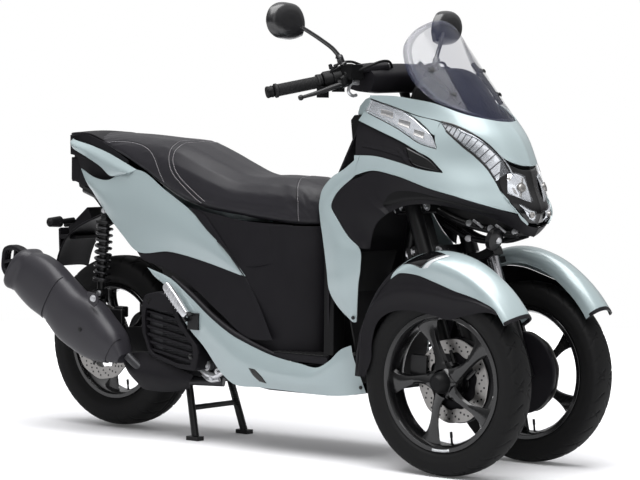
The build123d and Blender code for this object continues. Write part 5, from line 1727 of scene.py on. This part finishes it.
def noseBracket():
    # rails that carry the nose, with a horn, cross tubes, bolts, cable clips and a loom
    n = noseForm
    rail = tube(follow(n["rail"], 40), n["railRadius"], 14)
    low = tube(follow(n["lowRail"], 30), n["lowRadius"], 12)
    bars = [slab(n["core"], -n["coreHalf"], n["coreHalf"])]
    bars += [rod((x, -n["barHalf"], z), (x, n["barHalf"], z), 7) for x, z in n["bars"]]
    horn = tube(n["horn"], n["hornRadii"], 32)
    addPiece("noseRails", bothSides(rail, low) + bars + [horn], "framePaint", bevel=0.6)
    heads = [bolt(spot, (0.5, -0.8, 0.3), 7, 6) for spot in n["bolts"]]
    clips = [tube(follow(((x, -52, z + 12), (x + 16, -54, z + 4), (x + 30, -50, z - 6)), 12), 4, 8)
             for x, z in n["clips"]]
    addPiece("noseBolts", heads + clips, "brightAlloy", bevel=0.5)
    loom = [tube(follow(np.array(n["loom"], float) + (0, y, 0), 40), 4.5, 10) for y in n["loomAcross"]]
    addPiece("noseLoom", loom, "blackPlastic")
# ---------- handlebar: places are (x, y, height above the bar's middle), set to the left and mirrored
barForm = {
    "height": 1062, "route": ((438, 0, 0), (430, 75, 0), (385, 205, -10), (274, 366, -50)),
    "gripLength": 130, "gripRadius": 16.4, "ribPitch": 4, "ribHeight": 0.55,
    # distances along the grip or past the bar's end, and radii there
    "innerFlange": ((0, 14), (0.2, 21), (6, 21), (7, 17.5), (9, 16.6)),
    "outerFlange": ((119, 17), (120, 19.5), (126, 19.5), (128, 17), (129, 14)),
    "end": ((-3, 11), (0, 15.5), (2, 16.5), (8, 15), (15, 16.5), (18, 15), (18.1, 8.5), (12, 7)),
    "endHole": ((11.5, 7.5), (12.4, 7.5)),
}


def onBar(points):
    # places above the bar's middle as points of the row frame
    p = np.asarray(points, float)
    return p + (0, 0, barForm["height"])


def alongBar(spots):
    # turned form along the straight end of the bar, from (distance from its inner corner, radius)
    inner, outer = onBar(barForm["route"][2:])
    spots = np.asarray(spots, float)
    return tube(inner + unit(outer - inner) * spots[:, :1], spots[:, 1], 28)


def shifted(spots, by):
    # (distance, radius) pairs, further out by a distance
    return np.asarray(spots, float) + (by, 0)


def grips():
    # ribbed grips: radius + ribHeight * cos(2 pi s / ribPitch), doubled and cut off at one
    b = barForm
    length = float(np.linalg.norm(np.diff(onBar(b["route"][2:]), axis=0)))
    s = np.arange(10, 118, 0.5)
    ribs = b["gripRadius"] + b["ribHeight"] * np.clip(2 * np.cos(2 * math.pi * s / b["ribPitch"]), -1, 1)
    grip = np.concatenate((b["innerFlange"], np.stack([s, ribs], axis=1), b["outerFlange"]))
    start = length - 2 - b["gripLength"]
    addPiece("grips", bothSides(alongBar(shifted(grip, start))), "gripRubber", "steering", ("grips",))
    ends = alongBar(shifted(b["end"], length))
    addPiece("barEnds", bothSides(ends), "blackPlastic", "steering", bevel=0.4)
    # painted shade: a glossy black disc darkens the floor of each bar end's hole
    endHoleShade = alongBar(shifted(b["endHole"], length))
    addPiece("barEndHoleShades", bothSides(endHoleShade), "glossBlack", "steering")


switchForm = {
    "housing": ((0, 17), (3, 23), (8, 26), (30, 26), (32, 23), (33, 25), (52, 25), (57, 22), (60, 15)),
    "collar": ((60, 17), (61, 20.5), (67, 20.5), (68, 17)),
    # path and radii of each round part
    "perch": ((402, 186, -14), (400, 196, -17), (396, 232, -28), (394, 240, -30)),
    "perchRadii": (12, 16, 15, 9),
    "clamp": ((398, 190, -9), (389, 204, -11)), "clampRadii": 19,
    "cylinder": ((408, 172, 2), (409, 176, 2), (404, 222, -8), (403, 226, -8)),
    "cylinderRadii": (10, 14, 13, 9),
    "nose": ((404, 220, -10), (402, 236, -18)), "noseRadii": (9, 7),
    "pivot": ((406, 226, -30), (406, 226, -12)), "pivotRadii": (11, 11),
    "boxes": (((354, 376), (252, 278), (996, 1026)), ((376, 400), (214, 240), (1012, 1046))),
    "cable": ((404, 150, 24), (398, 190, 32), (386, 232, 22), (376, 244, 2), (384, 236, -18),
              (396, 214, -30)),
    "cableRadius": 3.6, "cableDrops": (0, 9),
    "reservoir": ((388, 430), (172, 224), (1046, 1080)), "lid": ((390, 430), (174, 224), (1080, 1086)),
    "lidScrews": ((396, 181), (424, 217)),
    "buttons": ((372, 216), (364, 228)), "horn": ((362, 222, -12), (352, 222, -14)),
}


def controls():
    # switch housing, brake lever perch and reservoir with their cables
    s = switchForm

    def part(name, count):
        return tube(onBar(s[name]), s[name + "Radii"], count)

    body = [alongBar(s["housing"]), alongBar(s["collar"]),
            part("perch", 20)] + [block(*box) for box in s["boxes"]]
    for drop in s["cableDrops"]:
        route = onBar(s["cable"])
        route[:3, 2] -= drop
        body.append(tube(follow(route, 40), s["cableRadius"], 10))
    body += [part("clamp", 24), part("cylinder", 24), part("nose", 16), part("pivot", 20)]
    body += [block(*s["reservoir"]), block(*s["lid"])]
    addPiece("controls", bothSides(*body), "blackPlastic", "steering", ("bar_controls",), bevel=1.6)


leverForm = {
    "route": ((404, 214, -26), (402, 232, -30), (392, 256, -38), (366, 294, -54), (342, 328, -66)),
    "width": ((0, 9.5), (0.1, 8.5), (0.5, 7), (0.9, 5), (1, 4.8)),  # share of the length and radius there
    "ball": ((-6, 4), (-3, 7), (2, 8), (7, 6), (8.5, 2)),  # distance past the tip and radius there
    "bracket": ((410, 168, -26), (408, 200, -30), (407, 206, -50), (409, 192, -60), (410, 176, -58)),
    "bracketRadius": 4.6, "adjuster": ((412, 172, -20), (412, 200, -22)), "adjusterRadius": 5,
}


def levers():
    # brake levers with a ball at the tip, and the bright bracket with its adjuster
    v = leverForm
    path = follow(onBar(v["route"]), 40)
    share, wide = np.array(v["width"], float).T
    past, thick = np.array(v["ball"], float).T
    blade = tube(path, np.interp(np.linspace(0, 1, 40), share, wide), 14)
    ball = tube(path[-1] + unit(path[-1] - path[-2]) * past[:, None], thick, 16)
    addPiece("levers", bothSides(blade, ball), "framePaint", "steering")
    bracket = tube(follow(onBar(v["bracket"]), 30), v["bracketRadius"], 8)
    tip = tube(onBar(v["adjuster"]), v["adjusterRadius"], 10)
    addPiece("leverAdjusters", bothSides(bracket, tip), "brightAlloy", "steering")


def buttons():
    # buttons of the switch housing and screws of the reservoir's lid
    s = switchForm
    heads = [tube(onBar(((x, y, 12), (x - 5, y, 24))), [6, 5], 12) for x, y in s["buttons"]]
    heads.append(tube(onBar(s["horn"]), [7, 6], 12))
    addPiece("buttons", bothSides(*heads), "charcoalPlastic", "steering", bevel=0.8)
    screws = [bolt((x, y, s["lid"][2][1]), (0, 0, 1), 3.2, 1.5) for x, y in s["lidScrews"]]
    addPiece("lidScrews", bothSides(*screws), "framePaint", "steering")


barCoverForm = {
    # section across the bar as (x, height), the cover's middle line from the centre out, and its size there
    "ring": ((-42, -44), (0, -52), (40, -48), (52, -22), (53, 0), (38, 16), (20, 26), (-8, 27), (-34, 22),
             (-44, -6)),
    "line": ((440, 0, 2), (437, 40, 2), (428, 84, 0), (414, 122, -2), (404, 150, -4)),
    "size": ((0, 1), (120, 0.96), (150, 0.86)),
    "ear": ((452, 96, 18), (430, 140, 16), (404, 184, 14)), "earRadii": (15, 14, 10),
}


def barCover():
    # smooth cowl around the middle of the bar, with a ridge down to each control
    c = barCoverForm
    half = follow(c["line"], 24)
    line = np.concatenate((half[::-1] * (1, -1, 1), half[1:]))
    closed = follow(c["ring"] + c["ring"][:1], 60)[:-1]
    out, size = np.array(c["size"], float).T
    shrink = np.interp(np.abs(line[:, 1]), out, size)[:, None]
    x = line[:, :1] + closed[None, :, 0] * shrink
    z = barForm["height"] + line[:, 2:] + closed[None, :, 1] * shrink
    grid = np.stack([x, line[:, 1:2] + 0 * x, z], axis=-1)
    addPiece("barCover", [bodyForm(grid)], "charcoalPlastic", "steering",
             ("bar_cover",))
    ears = tube(follow(onBar(c["ear"]), 20), np.interp(np.linspace(0, 1, 20), (0, 0.5, 1), c["earRadii"]),
                16)
    addPiece("barEars", bothSides(ears), "charcoalPlastic", "steering")


mirrorForm = {
    "outline": ((303, 98), (332, 90), (365, 90), (400, 97), (423, 114), (432, 140), (421, 168), (394, 184),
                (356, 187), (320, 178), (301, 156), (294, 124)),
    "middle": (363, 140), "turn": 3, "hinge": 320,
    # share of the outline and distance forward, from the rim round the back
    "rows": ((0.93, 307), (1, 306.3), (1, 314), (0.975, 321), (0.89, 328), (0.68, 333.5), (0.38, 335.8),
             (0.01, 336)),
    "glassAt": 305.9, "glassShare": 0.925,
    "boot": ((388, 212, 24.5), (388, 212, 28), (387, 214, 29), (385, 218, 42), (384, 220, 44),
             (383, 221, 50)),
    "bootRadii": (13, 13, 10.5, 9.5, 11, 8),
    "stem": ((384, 220, 46), (377, 236, 64), (362, 268, 88), (344, 300, 110), (328, 326, 127)),
    "stemRadii": (6.2, 5.4),
}


def mirrors():
    # shells shrink towards their backs, glasses lie just inside the rims, stems stand in rubber boots
    m = mirrorForm
    line = follow(m["outline"] + m["outline"][:1], 73)[:-1]
    middle = np.array(m["middle"], float)
    rings = []
    for scale, x in m["rows"]:
        flat = middle + (line - middle) * scale
        rings.append(np.stack([np.full(len(flat), x), flat[:, 0], flat[:, 1] + barForm["height"]], axis=1))
    hinge = onBar((m["hinge"], *m["middle"]))
    shell = bodyForm(net(np.array(rings), 30, 72, False))
    shell = turned(shell, hinge, (0, 0, 1), m["turn"])
    boot = tube(onBar(m["boot"]), m["bootRadii"], 20)
    stem = tube(follow(onBar(m["stem"]), 30), np.linspace(*m["stemRadii"], 30), 16)
    addPiece("mirrors", bothSides(shell, boot, stem), "mirrorBlack", "steering", ("mirrors",))
    flat = middle + (line[None] - middle) * np.linspace(0, m["glassShare"], 8)[:, None, None]
    pane = np.stack([np.full(flat.shape[:2], m["glassAt"]), flat[..., 0], flat[..., 1] + barForm["height"]],
                    axis=-1)
    glass = turned(facing(gridForm(pane, closeColumns=True), (-1, 0, 0)), hinge, (0, 0, 1), m["turn"])
    addPiece("mirrorGlasses", bothSides(glass), "mirrorGlass", "steering", wall=1)


hoseForm = {
    "route": ((428, 190, 8), (452, 178, 20), (470, 140, 36), (470, 100, 34), (456, 78, 14)), "thickness": 7,
    "length": 142,
}


def hoses():
    # brake hoses, held by the bar at both ends
    for name, side in (("Left", 1), ("Right", -1)):
        route = onBar(hoseForm["route"]) * (1, side, 1) * mm
        curve = bpy.data.curves.new("hose" + name, "CURVE")
        curve.dimensions = "3D"
        curve.bevel_depth = hoseForm["thickness"] / 2 * mm
        curve.bevel_resolution = 6
        curve.resolution_u = 16
        curve.use_fill_caps = True
        line = curve.splines.new("NURBS")
        line.points.add(len(route) - 1)
        for point, place in zip(line.points, route.tolist()):
            point.co = (*place, 1)
        line.order_u = 3
        line.use_endpoint_u = True
        curve.materials.append(finishes["blackPlastic"])
        hose = bpy.data.objects.new("hose" + name, curve)
        bpy.context.scene.collection.objects.link(hose)
        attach(hose, "steering")
        if side > 0:
            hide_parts("brake_hoses")


# ---------- cockpit behind the screen
hoodForm = {
    # x, half width, foot and top
    "stations": ((528, 84, 985, 1022), (540, 92, 975, 1050), (560, 96, 965, 1068), (590, 96, 958, 1078),
                 (627, 92, 950, 1077), (660, 84, 940, 1062), (690, 74, 930, 1030), (722, 60, 920, 992),
                 (742, 44, 920, 962)),
}


def instrumentHood():
    # arched hood: y = half * cos(turn)^0.75, z = low + (high - low) * sin(turn)^0.62
    table = np.array(hoodForm["stations"], float)
    rows = curveThrough(table[:, 0], table, np.linspace(table[0, 0], table[-1, 0], 50))
    turn = np.linspace(0, math.pi, 41)[None, :]
    x, half, low, high = rows.T[:, :, None]
    y = half * powered(np.cos(turn), 0.75)
    z = low + (high - low) * np.sin(turn) ** 0.62
    grid = np.stack([x + 0 * y, y, z], axis=-1)
    addPiece("instrumentHood", [bodyForm(grid)], "blackPlastic",
             stands=("instrument_panel",))


dashForm = {
    "at": (526.5, 0, 1004), "look": (-0.94, 0, 0.34), "up": (0.34, 0, 0.94),
    "outline": ((-72, -26), (-78, 0), (-70, 26), (-40, 34), (40, 34), (70, 26), (78, 0), (72, -26),
                (40, -32), (-40, -32)),
    # share of the outline and height over the face
    "rim": ((1, -8), (1.06, -6), (1.08, 0), (1, 3), (0.96, 1)),
    "glass": ((0.95, 0.5), (0.94, 1.6), (0.02, 1.8)),
    "marks": 11, "firstMark": 200, "markStep": 22, "markThick": 0.7, "markRadii": (40, 47),
    "markSquash": 0.62, "markDrop": 4,
}


def dashboard():
    # face with a rim, a dark glass and an arc of plain marks
    d = dashForm
    look, up, at = (np.array(d[key], float) for key in ("look", "up", "at"))
    line = follow(d["outline"] + d["outline"][:1], 61)[:-1]

    across, high = line[:, :1] * (0, 1, 0), line[:, 1:]

    def rings(table):
        return np.array([at + across * scale + high * scale * up + look * depth for scale, depth in table])

    addPiece("dashRim", [bodyForm(rings(d["rim"]))], "blackPlastic")
    addPiece("dashGlass", [bodyForm(rings(d["glass"]))], "dialGlass")
    marks = []
    for k in range(d["marks"]):
        a = math.radians(d["firstMark"] - d["markStep"] * k)
        first, last = (up * (math.sin(a) * r * d["markSquash"] - d["markDrop"]) + (0, math.cos(a) * r, 0)
                       for r in d["markRadii"])
        marks.append(rod(at + first + look * 2.2, at + last + look * 2.2, d["markThick"], 6))
    addPiece("dashMarks", marks, "paleLine")


# ---------- finishes of the CAD nodes, also of those that finer pieces stand for
nodeFinishes = {
    "framePaint": ("frame", "lean_arms", "centre_stand", "side_stand", "peg_brackets", "handlebar",
                   "tie_rod", "fork_left", "fork_right"),
    "charcoalPlastic": ("leg_panel", "floorboard", "belly_pan", "seat_cover", "side_panels", "tail_housing",
                        "grab_rail", "rear_fender", "radiator_cover", "fender_skirt_left",
                        "fender_skirt_right"),
    "blackPlastic": ("arch_liner", "instrument_panel", "luggage_box", "bar_cover", "bar_controls", "mirrors",
                     "brake_hoses", "rear_shocks"),
    "bodyPaint": ("side_skirts", "tail_cowl", "fender_left", "fender_right"),
    "engineMetal": ("engine_block", "cvt_case", "swing_arm"),
    "muffler": ("exhaust",),
    "redLens": ("rear_lamps",),
    "seatCover": ("seat",),
    "gripRubber": ("grips",),
    "brightAlloy": ("peg_left", "peg_right"),
    "tyreRubber": ("tyre_left", "tyre_right", "tyre_rear"),
    "wheelPaint": ("rim_left", "rim_right", "rim_rear"),
    "discSteel": ("disc_left", "disc_right", "disc_rear"),
}


def dressNodes():
    for finish, names in nodeFinishes.items():
        for name in names:
            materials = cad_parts[name].data.materials
            materials.clear()
            materials.append(finishes[finish])


dressNodes()


bonnet()
nosePanels()
innerShell()
intakePanels()
signalLamps()
slitLamps()
headLamp()
archBand()
legShields()
windScreen()
print("front body made")
fenders()
wheels()
brakeDiscs()
forkTubes()
armBolts()
noseBracket()
print("wheels and fenders made")
sideSkirts()
centreCover()
tail()
seat()
floorMats()
muffler()
shocks()
radiatorCover()
engineShield()
beltCase()
swingArm()
pegs()
rearLamp()
rearFender()
standSpring()
print("rear body, seat and exhaust made")
grips()
controls()
levers()
buttons()
barCover()
mirrors()
hoses()
instrumentHood()
dashboard()
print("handlebar and cockpit made")
